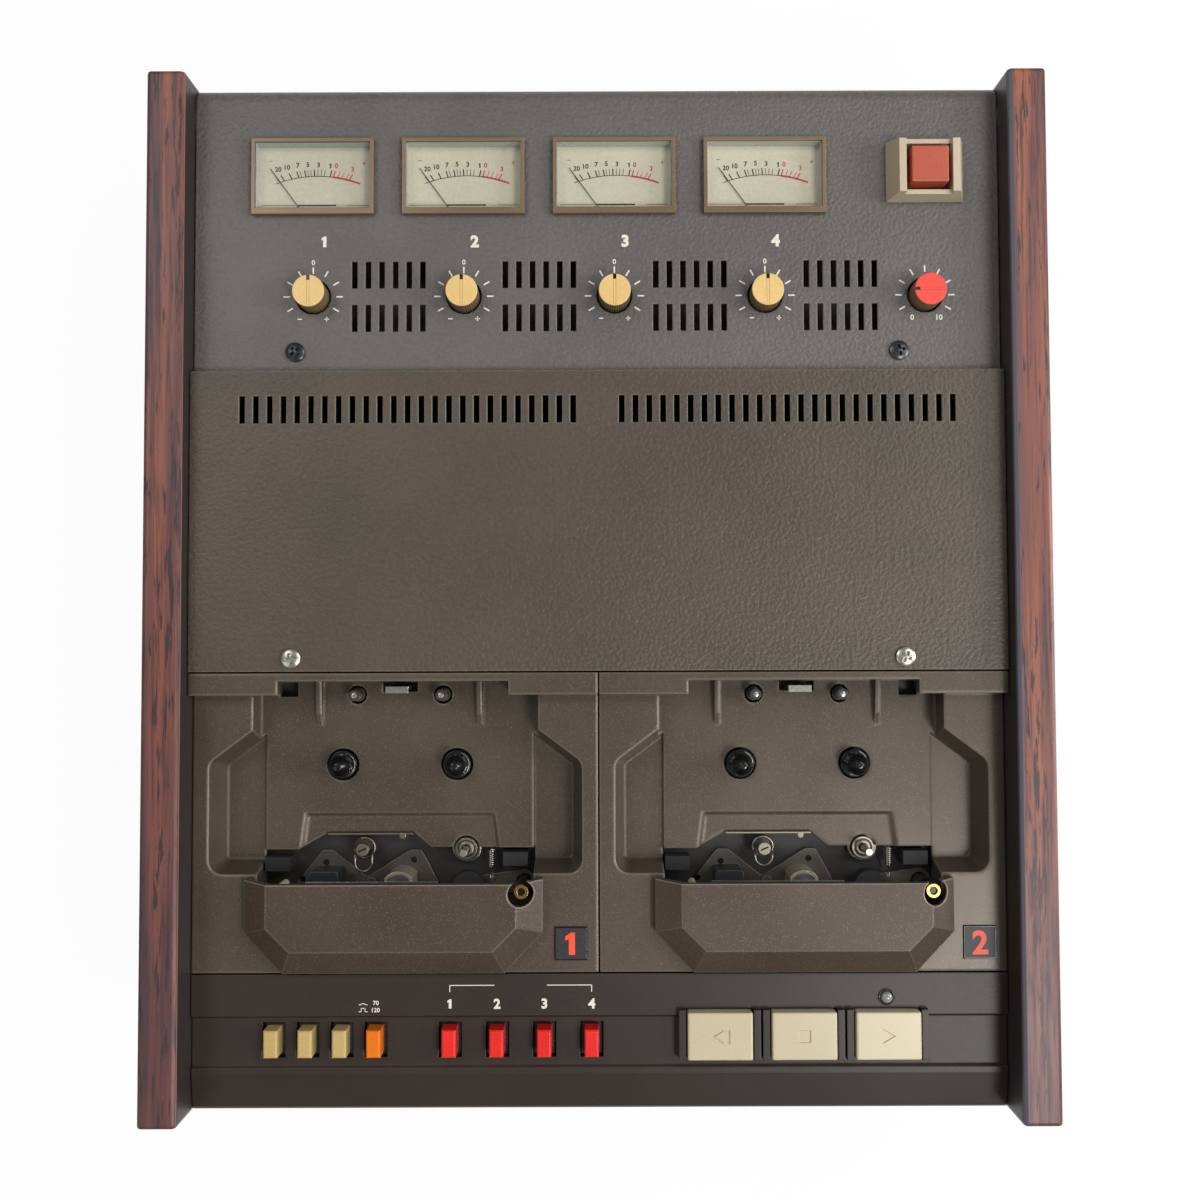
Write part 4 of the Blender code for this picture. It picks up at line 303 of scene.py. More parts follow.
def rosewood(name):
    """Wood from stretched noises: bands about 6 mm, fine streaks, and dark figure in patches."""
    material, tree, shader = start_finish(name, IOR=1.48, Coat_Weight=0.12, Coat_Roughness=0.3)
    place = add(tree, "TexCoord")
    x, y, z = add(tree, "SeparateXYZ", {"Vector": place.outputs["Object"]}).outputs[:3]
    facing = add(tree, "SeparateXYZ", {"Vector": place.outputs["Normal"]}).outputs["Y"]
    outward = add(tree, "Math", {0: facing}, operation="ABSOLUTE")
    on_end = add(tree, "Math", {0: outward.outputs[0], 1: 0.7}, operation="GREATER_THAN")
    upright = add(tree, "CombineXYZ", {"X": x, "Y": z, "Z": y})
    where = add(tree, "Mix", {0: on_end.outputs[0], 4: place.outputs["Object"], 5: upright.outputs[0]},
                data_type="VECTOR").outputs[1]
    along = add(tree, "Mapping", {"Vector": where, "Scale": (1.0, LENGTHWAYS, 0.55)}).outputs[0]
    wander = add(tree, "TexNoise", {"Vector": along, "Scale": 1 / WANDER_LENGTH, "Detail": 2.0})
    bent = add(tree, "MixRGB", {0: 0.004, 1: along, 2: wander.outputs["Color"]}, blend_type="ADD")
    bands = add(tree, "TexNoise", {"Vector": bent.outputs[0], "Scale": 1 / BAND_WIDTH, "Detail": 2.0})
    streaks = add(tree, "TexNoise", {"Vector": bent.outputs[0], "Scale": 1 / STREAK_WIDTH, "Detail": 4.0,
                                     "Roughness": 0.65})
    short = add(tree, "Mapping", {"Vector": where, "Scale": (1.0, PORE_LENGTHWAYS, 1.0)}).outputs[0]
    pores = add(tree, "TexNoise", {"Vector": short, "Scale": 1 / PORE_WIDTH, "Detail": 4.0,
                                   "Roughness": 0.62})
    band = ramp(tree, bands.outputs["Fac"], (0.34, "4c3237"), (0.46, "6c413b"), (0.56, "814a3b"),
                (0.66, "94563c"))
    dark = add(tree, "MapRange", {"Value": streaks.outputs["Fac"], "From Min": 0.48, "From Max": 0.72})
    streaked = add(tree, "Mix", {0: dark.outputs[0], 6: band, 7: linear("3c2a2e")}, data_type="RGBA")
    patch = add(tree, "TexNoise", {"Vector": along, "Scale": 1 / PATCH_WIDTH, "Detail": 1.0})
    figure = add(tree, "Math", {0: patch.outputs["Fac"], 1: 0.45, 2: pores.outputs["Fac"]},
                 operation="MULTIPLY_ADD")
    open_pore = add(tree, "MapRange", {"Value": figure.outputs[0], "From Min": 0.79, "From Max": 0.86})
    pored = add(tree, "Mix", {0: open_pore.outputs[0], 6: streaked.outputs[2], 7: linear("382a2f")},
                data_type="RGBA")
    across = add(tree, "SeparateXYZ", {"Vector": where}).outputs["X"]
    side = add(tree, "Math", {0: across}, operation="ABSOLUTE")
    bare = add(tree, "Math", {0: side.outputs[0], 1: INNER_PLANE + 0.25 * MM}, operation="LESS_THAN")
    lipped = pored.outputs[2]
    for way, width, code in EDGE_STRIPS:
        signed = add(tree, "Math", {0: across, 1: way}, operation="MULTIPLY")
        inner = add(tree, "Math", {0: signed.outputs[0], 1: INNER_PLANE + width}, operation="LESS_THAN")
        here = add(tree, "Math", {0: signed.outputs[0], 1: 0.0}, operation="GREATER_THAN")
        both = add(tree, "Math", {0: inner.outputs[0], 1: here.outputs[0]}, operation="MULTIPLY")
        lipped = add(tree, "Mix", {0: both.outputs[0], 6: lipped, 7: linear(code)},
                     data_type="RGBA").outputs[2]
    colour = add(tree, "Mix", {0: bare.outputs[0], 6: lipped, 7: linear("2e2826")}, data_type="RGBA")
    bevel = add(tree, "Bevel", {"Radius": 0.6 * MM}, samples=6)
    height = add(tree, "Math", {0: open_pore.outputs[0], 1: dark.outputs[0]}, operation="MAXIMUM")
    bump = add(tree, "Bump", {"Height": height.outputs[0], "Distance": 0.03 * MM, "Strength": 1.0,
                              "Normal": bevel.outputs[0]}, invert=True)
    gloss = add(tree, "MapRange", {"Value": streaks.outputs["Fac"], "To Min": 0.38, "To Max": 0.56})
    tree.links.new(colour.outputs[2], shader.inputs["Base Color"])
    tree.links.new(gloss.outputs[0], shader.inputs["Roughness"])
    tree.links.new(bump.outputs[0], shader.inputs["Normal"])
    return material


finishes["rosewood"] = rosewood("rosewood_veneer_oiled")
print("rosewood ready")

# %% [markdown]
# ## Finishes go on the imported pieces
# Each node of the working model keeps its shape and takes a finish. A list of name beginnings is
# enough, because the pieces are named for what they are.

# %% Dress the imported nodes
NODE_FINISHES = {
    "cheek": "rosewood", "foot": "rubber", "chassis_tray": "frame_steel", "rear_panel": "cover_enamel",
    "meter_panel": "panel_enamel", "mid_cover": "cover_enamel", "meter_": "bezel_paint",
    "needle": "needle_paint", "circuit_board": "board_laminate", "power_guard": "guard_paint",
    "power_button": "power_abs", "control_panel": "black_abs", "mode_button": "straw_abs",
    "equaliser_button": "orange_abs", "record_button": "red_abs", "rewind_key": "cream_abs",
    "stop_key": "cream_abs", "copy_key": "cream_abs", "capstan_motor": "zinc_steel",
    "motor_pulley": "brass", "drive_belt": "rubber", "transformer": "stamped_steel",
    "deck_plate": "deck_bronze", "head_cover": "hood_bronze", "transport_frame": "frame_steel",
    "supply_spindle": "gloss_black", "takeup_spindle": "gloss_black", "capstan_": "plated_steel",
    "head_carriage": "stamped_steel", "pinch_arm": "stamped_steel", "pinch_roller": "rubber",
    "track_knob": "gloss_black", "monitor_knob": "gloss_black",
}


def finish_for(node_name):
    """The finish of the longest beginning that the node's name has."""
    fitting = [start for start in NODE_FINISHES if node_name.startswith(start)]
    return finishes[NODE_FINISHES[max(fitting, key=len)]]


for node_name, node in nodes.items():
    node.data.materials.clear()
    node.data.materials.append(finish_for(node_name))
print("dressed", len(nodes), "nodes")

# %% [markdown]
# ## Surfaces from numbers
# A turned piece is a profile carried round an axis, a wire is a circle carried along a path, and a
# printed line is a path with a width. Each is worked out as one array of points on a grid, and the
# grid's quads are the same for all of them.

# %% Grid helpers
SMOOTH_ANGLE = math.radians(38)
MERGE_DISTANCE = 0.002 * MM
FULL_TURN = 2 * math.pi


def grid_quads(rows, columns, ring=True):
    """Quads of a grid, seen from outside when columns run round and rows run up."""
    row, column = np.meshgrid(np.arange(rows - 1), np.arange(columns - (not ring)), indexing="ij")
    after = (column + 1) % columns
    corners = [row * columns + column, row * columns + after,
               (row + 1) * columns + after, (row + 1) * columns + column]
    return np.stack(corners, axis=-1).reshape(-1, 4)


def joined(parts):
    """Several (points, faces) as one, with the corner numbers of each moved past the last."""
    points, faces, count = [], [], 0
    for part_points, part_faces in parts:
        points.append(np.asarray(part_points).reshape(-1, 3))
        faces += [tuple(face) for face in (np.asarray(part_faces) + count).tolist()]
        count += len(points[-1])
    return np.concatenate(points), faces


def piece(name, parts, finish, body, closed=True):
    """One object from its parts, its place in its mesh, riding on a body of the working model."""
    points, faces = joined(parts)
    mesh = bpy.data.meshes.new(name)
    mesh.from_pydata(points.tolist(), [], faces)
    work = bmesh.new()
    work.from_mesh(mesh)
    bmesh.ops.remove_doubles(work, verts=work.verts, dist=MERGE_DISTANCE)
    if closed:
        bmesh.ops.recalc_face_normals(work, faces=work.faces)
    work.to_mesh(mesh)
    work.free()
    mesh.shade_smooth()
    mesh.set_sharp_from_angle(angle=SMOOTH_ANGLE)
    mesh.materials.append(finish)
    made = bpy.data.objects.new(name, mesh)
    bpy.context.scene.collection.objects.link(made)
    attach(made, body)
    return made


def turned(profile, centre, sides=48, ripple=None):
    """Profile (radius, height) round an upright axis: x = r cos a, y = r sin a. A ripple(a, height)
    multiplies the radius."""
    angle = np.linspace(0, FULL_TURN, sides, endpoint=False)
    radius, height = np.array(profile, float).T[:, :, None]
    radius = radius * (ripple(angle, height) if ripple else 1.0)
    x, y, z = np.broadcast_arrays(radius * np.cos(angle), radius * np.sin(angle), height)
    points = np.stack([x, y, z], axis=-1) * MM + np.array(centre)
    return points, grid_quads(len(profile), sides)


def tube(path, radius, sides=10):
    """A round wire: circles across the path's direction, closed to a point at both ends."""
    path = np.array(path, float)
    path = np.concatenate([path[:1], path, path[-1:]])
    along = np.gradient(path, axis=0)
    along /= np.linalg.norm(along, axis=1, keepdims=True)
    level = np.where(np.abs(along[:, 2:]) > 0.9, [[1.0, 0.0, 0.0]], [[0.0, 0.0, 1.0]])
    side = np.cross(along, level)
    side /= np.linalg.norm(side, axis=1, keepdims=True)
    up = np.cross(side, along)
    angle = np.linspace(0, FULL_TURN, sides, endpoint=False)[:, None]
    radii = np.full(len(path), radius, float)
    radii[[0, -1]] = 0.0
    circle = np.cos(angle) * side[:, None] + np.sin(angle) * up[:, None]
    return path[:, None] + circle * radii[:, None, None], grid_quads(len(path), sides)


def ribbon(path, width, z):
    """A flat line: the path's points moved half the width to both sides, facing up."""
    path = np.array(path, float)
    along = np.gradient(path, axis=0)
    along /= np.linalg.norm(along, axis=1, keepdims=True)
    side = np.stack([along[:, 1], -along[:, 0]], axis=1) * width / 2
    both = np.stack([path - side, path + side], axis=1)
    height = np.full((*both.shape[:2], 1), z)
    quads = grid_quads(len(path), 2, ring=False)[:, ::-1]
    return np.concatenate([both, height], axis=2), quads


def facing_up(part):
    """The part with its faces listed so that each one faces up."""
    points, faces = np.asarray(part[0]).reshape(-1, 3), np.asarray(part[1])
    edge_a = points[faces[:, 1]] - points[faces[:, 0]]
    edge_b = points[faces[:, 2]] - points[faces[:, 0]]
    down = edge_a[:, 0] * edge_b[:, 1] < edge_a[:, 1] * edge_b[:, 0]
    return points, np.where(down[:, None], faces[:, ::-1], faces)


print("grid helpers ready")

# %% [markdown]
# ## Numbers for dials and legends
# The machine carries plain numbers and signs only. Blender's own font makes the outlines. They
# become a mesh first, are centred, and are then sized to the height they have on the panel.

# %% Numerals
DIGIT_HEIGHT = 0.69         # of a figure, where the font's size is 1


def flagged_one(height, centre, bold=0.0):
    """The figure 1 as one outline: a stem with a flag, since the font's own is a bare stroke."""
    wide = bold + 0.03
    outline = np.array([(-0.04 - wide, -0.5), (0.12 + wide, -0.5), (0.12 + wide, 0.5), (0.0, 0.5),
                        (-0.26, 0.33), (-0.26, 0.2 - wide), (-0.04 - wide, 0.27 - wide)]) * height
    points = np.column_stack([outline + np.array(centre[:2]), np.full(len(outline), centre[2])])
    return points, np.arange(len(outline))[None]


def numeral(text, height, centre, bold=0.0):
    """Flat triangles of a short text, as tall as height and centred."""
    if text == "1":
        return flagged_one(height, centre, bold)
    curve = bpy.data.curves.new("numeral", type="FONT")
    curve.body = text
    curve.offset = bold
    curve.resolution_u = 3
    holder = bpy.data.objects.new("numeral", curve)
    bpy.context.scene.collection.objects.link(holder)
    flat = bpy.data.meshes.new_from_object(holder.evaluated_get(bpy.context.evaluated_depsgraph_get()))
    flat.calc_loop_triangles()
    points = np.empty(len(flat.vertices) * 3, np.float32)
    flat.vertices.foreach_get("co", points)
    faces = np.empty(len(flat.loop_triangles) * 3, np.int32)
    flat.loop_triangles.foreach_get("vertices", faces)
    bpy.data.objects.remove(holder)
    points = points.reshape(-1, 3)[:, :2].astype(float)
    middle = (points.min(axis=0) + points.max(axis=0)) / 2
    points = (points - middle) * height / DIGIT_HEIGHT + np.array(centre[:2])
    return facing_up((np.column_stack([points, np.full(len(points), centre[2])]), faces.reshape(-1, 3)))


def cross_mark(size, width, centre):
    """A plus sign: two crossing strokes."""
    x, y, z = centre
    half = size / 2
    strokes = [(x - half, y), (x + half, y)], [(x, y - half), (x, y + half)]
    return [ribbon(stroke, width, z) for stroke in strokes]


print("numeral faces:", len(numeral("0", 1.0, (0, 0, 0))[1]))

# %% [markdown]
# ## Inks, dial card and clear windows
# Legends are screen printed in off-white ink, and the meter dials in black and red on cream card.
# Ink lies a few hundredths of a millimetre proud. The window is clear acrylic, thin enough to be
# drawn as a film that reflects a little and lets the light through.

# %% Printed and clear finishes
INK_GRAIN = 0.4 * MM
finishes |= {
    "white_ink": grained("white_screen_ink", "dedacb", "ebe7da", "f4f1e6", INK_GRAIN, 0.003 * MM,
                         rough=0.5, IOR=1.5),
    "black_ink": grained("black_screen_ink", "2a2826", "383532", "4a4744", INK_GRAIN, 0.002 * MM,
                         rough=0.6, IOR=1.5),
    "red_ink": grained("red_screen_ink", "c03a44", "cc4650", "d8686c", INK_GRAIN, 0.002 * MM,
                       rough=0.6, IOR=1.5),
    "dial_card": grained("cream_dial_card", "cfc9b0", "dbd5bd", "e8e3d0", 1.2 * MM, 0.006 * MM,
                         rough=0.62, IOR=1.45),
    "window_wall": grained("pale_window_wall", "a9b0ac", "c0c5bf", "e6e8e0", 0.8 * MM, 0.003 * MM,
                          rough=0.3, IOR=1.5),
}


def clear_film(name, tint, alpha):
    """Clear acrylic: a smooth film that is mostly see-through, with faint wipe marks in its gloss."""
    material, tree, shader = start_finish(name, Base_Color=linear(tint), Alpha=alpha, IOR=1.49)
    where = add(tree, "TexCoord").outputs["Object"]
    wiped = add(tree, "TexNoise", {"Vector": where, "Scale": 1 / (14 * MM), "Detail": 4.0})
    gloss = add(tree, "MapRange", {"Value": wiped.outputs["Fac"], "To Min": 0.04, "To Max": 0.16})
    tree.links.new(gloss.outputs[0], shader.inputs["Roughness"])
    return material


finishes["clear_acrylic"] = clear_film("clear_acrylic_window", "2a2e2c", 0.07)
print("inks and film ready")

# %% [markdown]
# ## Level meters
# Each dial is a cream card with an arc of level marks: black up to nought, red above it. The marks
# fan out from the needle's pivot, which lies in front of the window. So every mark is a short
# stroke along a ray from the pivot, and one table of places across the dial gives them all.

# %% Meter places
METER_NAMES = [name for name in sorted(nodes) if name.startswith("meter_") and name != "meter_panel"]
BEZEL_DEPTH = 28.1 * MM
WINDOW_SIDE = 21.1 * MM
WINDOW_FRONT = -11.85 * MM
WINDOW_REAR = 12.75 * MM
PIVOT_Y = -18.95 * MM
CARD_MARGIN, CARD_THICKNESS = 0.1 * MM, 0.08 * MM
WALL_MARGIN, WALL_THICKNESS = 0.02 * MM, 0.25 * MM
needle_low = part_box("needle_1")[0].z
CARD_TOP = needle_low - 0.2 * MM
INK_LIFT = 0.04 * MM
meter_centres = []
for meter_name in METER_NAMES:
    low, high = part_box(meter_name)
    meter_centres.append(((low.x + high.x) / 2, high.y - BEZEL_DEPTH / 2))
print("meters at", [(round(x / MM, 1), round(y / MM, 1)) for x, y in meter_centres])

# %% [markdown]
# The card is a flat sheet that carries the print. A thin pale frame stands on it along the
# window's walls, where the photograph shows a pale line inside the brown bezel.

# %% Dial cards
def rectangle_ring(half_width, front, rear, z):
    """Four corners of a rectangle at one height, counter-clockwise."""
    return [(-half_width, front, z), (half_width, front, z),
            (half_width, rear, z), (-half_width, rear, z)]


def card_part(x, y):
    """Rings from the card's underside up its edge and in over its top to a point at the middle."""
    half = WINDOW_SIDE - CARD_MARGIN
    front, rear = WINDOW_FRONT + CARD_MARGIN, WINDOW_REAR - CARD_MARGIN
    low = CARD_TOP - CARD_THICKNESS
    middle = (front + rear) / 2
    rings = [rectangle_ring(0, middle, middle, low), rectangle_ring(half, front, rear, low),
             rectangle_ring(half, front, rear, CARD_TOP), rectangle_ring(0, middle, middle, CARD_TOP)]
    return np.array(rings) + np.array([x, y, 0]), grid_quads(len(rings), 4)


def wall_part(x, y, low, high):
    """A thin frame that lines the window's walls, from the card up to the glass."""
    out = (WINDOW_SIDE - WALL_MARGIN, WINDOW_FRONT + WALL_MARGIN, WINDOW_REAR - WALL_MARGIN)
    inner = (out[0] - WALL_THICKNESS, out[1] + WALL_THICKNESS, out[2] - WALL_THICKNESS)
    rings = [rectangle_ring(*out, low), rectangle_ring(*out, high), rectangle_ring(*inner, high),
             rectangle_ring(*inner, low), rectangle_ring(*out, low)]
    return np.array(rings) + np.array([x, y, 0]), grid_quads(len(rings), 4)


GLASS_SUNK, GLASS_THICKNESS = 0.5 * MM, 0.5 * MM
GLASS_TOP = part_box("meter_1")[1].z - GLASS_SUNK
GLASS_LOW = GLASS_TOP - GLASS_THICKNESS
WALL_LOW, WALL_HIGH = CARD_TOP + 0.02 * MM, GLASS_LOW - 0.05 * MM
for number, (x, y) in enumerate(meter_centres, start=1):
    piece(f"dial_card_{number}", [card_part(x, y)], finishes["dial_card"], "chassis")
    piece(f"window_wall_{number}", [wall_part(x, y, WALL_LOW, WALL_HIGH)], finishes["window_wall"],
          "chassis")
print("dial cards at z", round(CARD_TOP / MM, 2), "mm")

# %% [markdown]
# The arc is a circle about a point far below the pivot, so it is flatter than the needle's sweep.
# Each mark starts on the arc and runs outwards along the needle's ray. Places are in millimetres
# across and up the dial.

# %% Dial print
PRINT_SHIFT = 0.9 * MM      # the print lies a little right of the needle's pivot
ARC_TOP = 1.65 * MM
ARC_RADIUS = 44.0 * MM
RED_FROM = 5.6 * MM
ARC_END = 15.7 * MM
MARK_LENGTH = 2.5 * MM
BLACK_WIDTH, RED_WIDTH = 0.26 * MM, 0.68 * MM
# Where each mark stands across the dial, with its place in MARK_WIDTHS; the last two widths are red.
MARKS = {-13.9: 1, -12.3: 1, -9.6: 1, -7.0: 1, -6.0: 0, -4.4: 1, -3.4: 0, -2.4: 0, -1.2: 1,
         0.0: 0, 1.2: 0, 2.4: 0, 4.6: 1, 5.8: 2, 7.4: 3, 8.8: 3, 10.4: 3, 11.6: 2}
MARK_WIDTHS = (0.2 * MM, 0.42 * MM, 0.42 * MM, 0.24 * MM)
NUMBERS = (("20", -13.8, 4.3), ("10", -10.4, 5.05), ("7", -6.5, 5.75), ("5", -2.8, 6.05),
           ("3", 1.15, 5.95), ("1", 5.6, 5.5), ("0", 7.75, 5.6), ("3", 13.8, 4.2))
NUMBER_HEIGHT = 1.7 * MM
SIGN_SIZE, SIGN_WIDTH = 1.4 * MM, 0.22 * MM
# Straight lines in black: start and end across the dial, height on it, width.
LINES = ((-17.2, -15.9, 7.4, 0.22), (-6.6, 7.8, -9.3, 0.55), (-20, -7.8, -9.3, 0.16),
         (12, 20, -9.3, 0.16))


def arc_height(x):
    """Height of the arc at x: the circle's top less its fall, r - sqrt(r*r - x*x)."""
    return ARC_TOP - ARC_RADIUS + np.sqrt(ARC_RADIUS ** 2 - np.square(x))


def arc_part(x, y, start, end, width, z):
    """A ribbon along the arc from start to end, measured across the dial."""
    across = np.linspace(start, end, 40)
    return ribbon(np.column_stack([x + PRINT_SHIFT + across, y + arc_height(across)]), width, z)


def mark_part(x, y, across, width, z):
    """One level mark: a stroke from the arc outwards along the ray from the pivot."""
    foot = np.array([across, arc_height(across)])
    ray = foot - np.array([0, PIVOT_Y])
    tip = foot + ray / np.linalg.norm(ray) * MARK_LENGTH
    return ribbon(np.array([foot, tip]) + np.array([x + PRINT_SHIFT, y]), width, z)


def print_dial(x, y, z):
    """Black and red print of one dial, as two lists of flat parts."""
    black = [arc_part(x, y, -ARC_END, RED_FROM, BLACK_WIDTH, z)]
    red = [arc_part(x, y, RED_FROM, ARC_END, RED_WIDTH, z)]
    for across, kind in MARKS.items():
        (red if kind > 1 else black).append(mark_part(x, y, across * MM, MARK_WIDTHS[kind], z))
    for text, across, height in NUMBERS:
        part = numeral(text, NUMBER_HEIGHT, (x + across * MM, y + height * MM, z), bold=0.025)
        (red if across > RED_FROM / MM + 1 else black).append(part)
    for start, end, height, width in LINES:
        ends = [(x + start * MM, y + height * MM), (x + end * MM, y + height * MM)]
        black.append(ribbon(ends, width * MM, z))
    red += cross_mark(SIGN_SIZE, SIGN_WIDTH, (x + 18.0 * MM, y + 6.5 * MM, z))
    return black, red


for number, (x, y) in enumerate(meter_centres, start=1):
    black, red = print_dial(x, y, CARD_TOP + INK_LIFT)
    piece(f"dial_marks_black_{number}", black, finishes["black_ink"], "chassis", closed=False)
    piece(f"dial_marks_red_{number}", red, finishes["red_ink"], "chassis", closed=False)
print("dials printed:", len(meter_centres))

# %% [markdown]
# The needle is drawn aluminium wire, painted grey. At rest it leans left, so it runs between two
# corners of the working needle's box.

# %% Needles
NEEDLE_RADIUS, NEEDLE_MARGIN = 0.15 * MM, 0.2 * MM
for number in range(1, len(meter_centres) + 1):
    low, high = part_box(f"needle_{number}")
    level = (low.z + high.z) / 2
    ends = np.array([(high.x - NEEDLE_MARGIN, low.y, level), (low.x + NEEDLE_MARGIN, high.y, level)])
    path = ends[0] + np.linspace(0, 1, 8)[:, None] * (ends[1] - ends[0])
    wire = piece(f"needle_wire_{number}", [tube(path, NEEDLE_RADIUS)], finishes["needle_paint"],
                 f"needle_{number}")
    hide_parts(f"needle_{number}")
print("needle length in mm:", round(float(np.linalg.norm(ends[1] - ends[0])) / MM, 1))

# %% [markdown]
# The window is a flat sheet with a small chamfer all round, like the cut acrylic of the real one.

# %% Meter windows
def sheet_part(x, y, half, front, rear, low, high, chamfer):
    """A sheet with chamfered top edges, closed above and below at its middle."""
    middle = (front + rear) / 2
    rings = [rectangle_ring(0, middle, middle, low), rectangle_ring(half, front, rear, low),
             rectangle_ring(half, front, rear, high - chamfer),
             rectangle_ring(half - chamfer, front + chamfer, rear - chamfer, high),
             rectangle_ring(0, middle, middle, high)]
    return np.array(rings) + np.array([x, y, 0]), grid_quads(len(rings), 4)


GLASS_MARGIN, GLASS_CHAMFER = 0.15 * MM, 0.15 * MM
for number, (x, y) in enumerate(meter_centres, start=1):
    glass = [sheet_part(x, y, WINDOW_SIDE - GLASS_MARGIN, WINDOW_FRONT + GLASS_MARGIN,
                        WINDOW_REAR - GLASS_MARGIN, GLASS_LOW, GLASS_TOP, GLASS_CHAMFER)]
    piece(f"meter_glass_{number}", glass, finishes["clear_acrylic"], "chassis")
print("windows at z", round(GLASS_TOP / MM, 2), "mm")

# %% [markdown]
# ## Level knobs
# A knob is two mouldings pressed together: a brown fluted skirt to grip, and a flat cap. A groove
# crosses the cap, with a notch at its pointing end. Neither is cut: the groove is two darker lines
# and the notch a black strip on the cap, painted shade of the cut. The skirt is a turned profile
# whose radius ripples with the angle, which gives forty flutes from one formula.

# %% Knob shapes
FLUTES, FLUTE_DEPTH = 40, 0.06
KNOB_RISE = 11.0            # millimetres from the skirt's foot to the top of the cap
GROOVE_HALF, GROOVE_MARGIN = 0.45, 0.35
GROOVE_LINE, NOTCH_WIDTH = 0.13 * MM, 1.2 * MM
GROOVE_LIFT, NOTCH_LIFT = 0.012 * MM, 0.01 * MM
finishes |= {
    "brown_abs": grained("brown_abs_fluted", "6a573e", "80694a", "b09a74", 0.5 * MM, 0.01 * MM,
                         rough=0.4, rounding=0.12 * MM, IOR=1.52),
    "golden_cap": grained("golden_cream_abs", "dfba76", "e8c584", "f2dcae", 1.0 * MM, 0.004 * MM,
                          rough=0.4, rounding=0.2 * MM, IOR=1.52),
    "red_cap": grained("red_cap_abs", "e4382a", "ee4838", "ff9484", 1.0 * MM, 0.004 * MM,
                       rough=0.38, rounding=0.2 * MM, IOR=1.52),
    # Painted shade of the groove's walls: the cap's colour made darker.
    "groove_shade_ochre": grained("groove_ochre_painted_shade", "9c7c48", "ab8a54", "c0a070", 0.4 * MM, 0.002 * MM,
                            rough=0.5, IOR=1.5),
    "groove_shade_red": grained("groove_red_painted_shade", "a32c24", "b23a30", "c85a50", 0.4 * MM, 0.002 * MM,
                          rough=0.5, IOR=1.5),
}


def flute(angle, height):
    """1 on the ridge of each flute, less in its valley: 1 - depth (1 - sqrt |sin(n a / 2)|)."""
    valley = 1 - np.sqrt(np.abs(np.sin(FLUTES * angle / 2)))
    return 1 - FLUTE_DEPTH * valley * np.ones_like(height)


def turned_point(x, y, turn, centre):
    """A place on the knob's top turned with its pointer."""
    cos, sin = math.cos(turn), math.sin(turn)
    return centre[0] + x * cos - y * sin, centre[1] + x * sin + y * cos


def make_knob(name, cap_finish, groove_shade_finish, turn):
    """Skirt, cap, groove lines and notch of one knob, all riding on the knob's body; groove and notch
    are painted shade.
    """
    low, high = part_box(name)
    centre = ((low.x + high.x) / 2, (low.y + high.y) / 2, 0)
    top = high.z / MM
    radius = (high.x - low.x) / 2 / MM
    foot = top - KNOB_RISE
    skirt = [(0, foot), (radius - 0.4, foot), (radius, foot + 0.4), (radius, top - 1.3),
             (radius - 0.25, top - 1.0), (0, top - 1.0)]
    skirt_piece = piece(f"{name}_skirt", [turned(skirt, centre, FLUTES * 6, flute)],
                        finishes["brown_abs"], name)
    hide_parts(name)
    cap = [(0, top - 0.98), (radius - 0.3, top - 0.98), (radius - 0.05, top - 0.7),
           (radius - 0.05, top - 0.12), (radius - 0.2, top), (0, top)]
    piece(f"{name}_cap", [turned(cap, centre, 72)], cap_finish, name)
    # The groove's two lines are darker than the cap: painted shade of its walls.
    z = high.z + GROOVE_LIFT
    reach = radius - GROOVE_MARGIN
    ends = [[turned_point(x * MM, y * MM, turn, centre) for y in (-reach, reach)]
            for x in (-GROOVE_HALF, GROOVE_HALF)]
    piece(f"{name}_groove", [ribbon(line, GROOVE_LINE, z) for line in ends], groove_shade_finish, name,
          closed=False)
    # The notch is a flat black strip: painted shade of the cut.
    notch = [turned_point(0, y * MM, turn, centre) for y in (radius - 1.95, radius - 0.16)]
    piece(f"{name}_notch", [ribbon(notch, NOTCH_WIDTH, z + NOTCH_LIFT)], finishes["gloss_black"], name,
          closed=False)


TRACK_KNOBS = [f"track_knob_{number}" for number in range(1, 5)]
for knob in TRACK_KNOBS:
    make_knob(knob, finishes["golden_cap"], finishes["groove_shade_ochre"], 0.0)
make_knob("monitor_knob", finishes["red_cap"], finishes["groove_shade_red"], math.radians(90))
print("knobs:", len(TRACK_KNOBS) + 1)

# %% [markdown]
# ## Legends round the knobs
# Nine strokes fan out round each knob, thirty degrees apart. A track knob has a minus and a plus at
# the ends and its number above, and the monitor knob goes from 0 to 10. All of it is ink on the
# meter panel, so it is one flat mesh.

# %% Panel legends
LEGEND_LIFT = 0.03 * MM
INK_ON_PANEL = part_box("meter_panel")[1].z + LEGEND_LIFT
STROKE_ANGLES = np.radians(np.arange(-120, 121, 30))
STROKE_INNER, STROKE_OUTER, STROKE_WIDTH = 8.5 * MM, 10.9 * MM, 0.55 * MM
SIGN_DROP, SIGN_LINE = 8.3 * MM, 0.4 * MM           # minus and plus, or nought and ten, at the ends
NOUGHT_RISE = 12.7 * MM
TRACK_ACROSS, TRACK_RISE = 4.0 * MM, 20.4 * MM


def scale_strokes(x, y, z):
    """Strokes from the inner to the outer radius, each at its angle clockwise from the rear."""
    rays = np.stack([np.sin(STROKE_ANGLES), np.cos(STROKE_ANGLES)], axis=1)
    here = np.array([x, y])
    return [ribbon([here + ray * STROKE_INNER, here + ray * STROKE_OUTER], STROKE_WIDTH, z)
            for ray in rays]


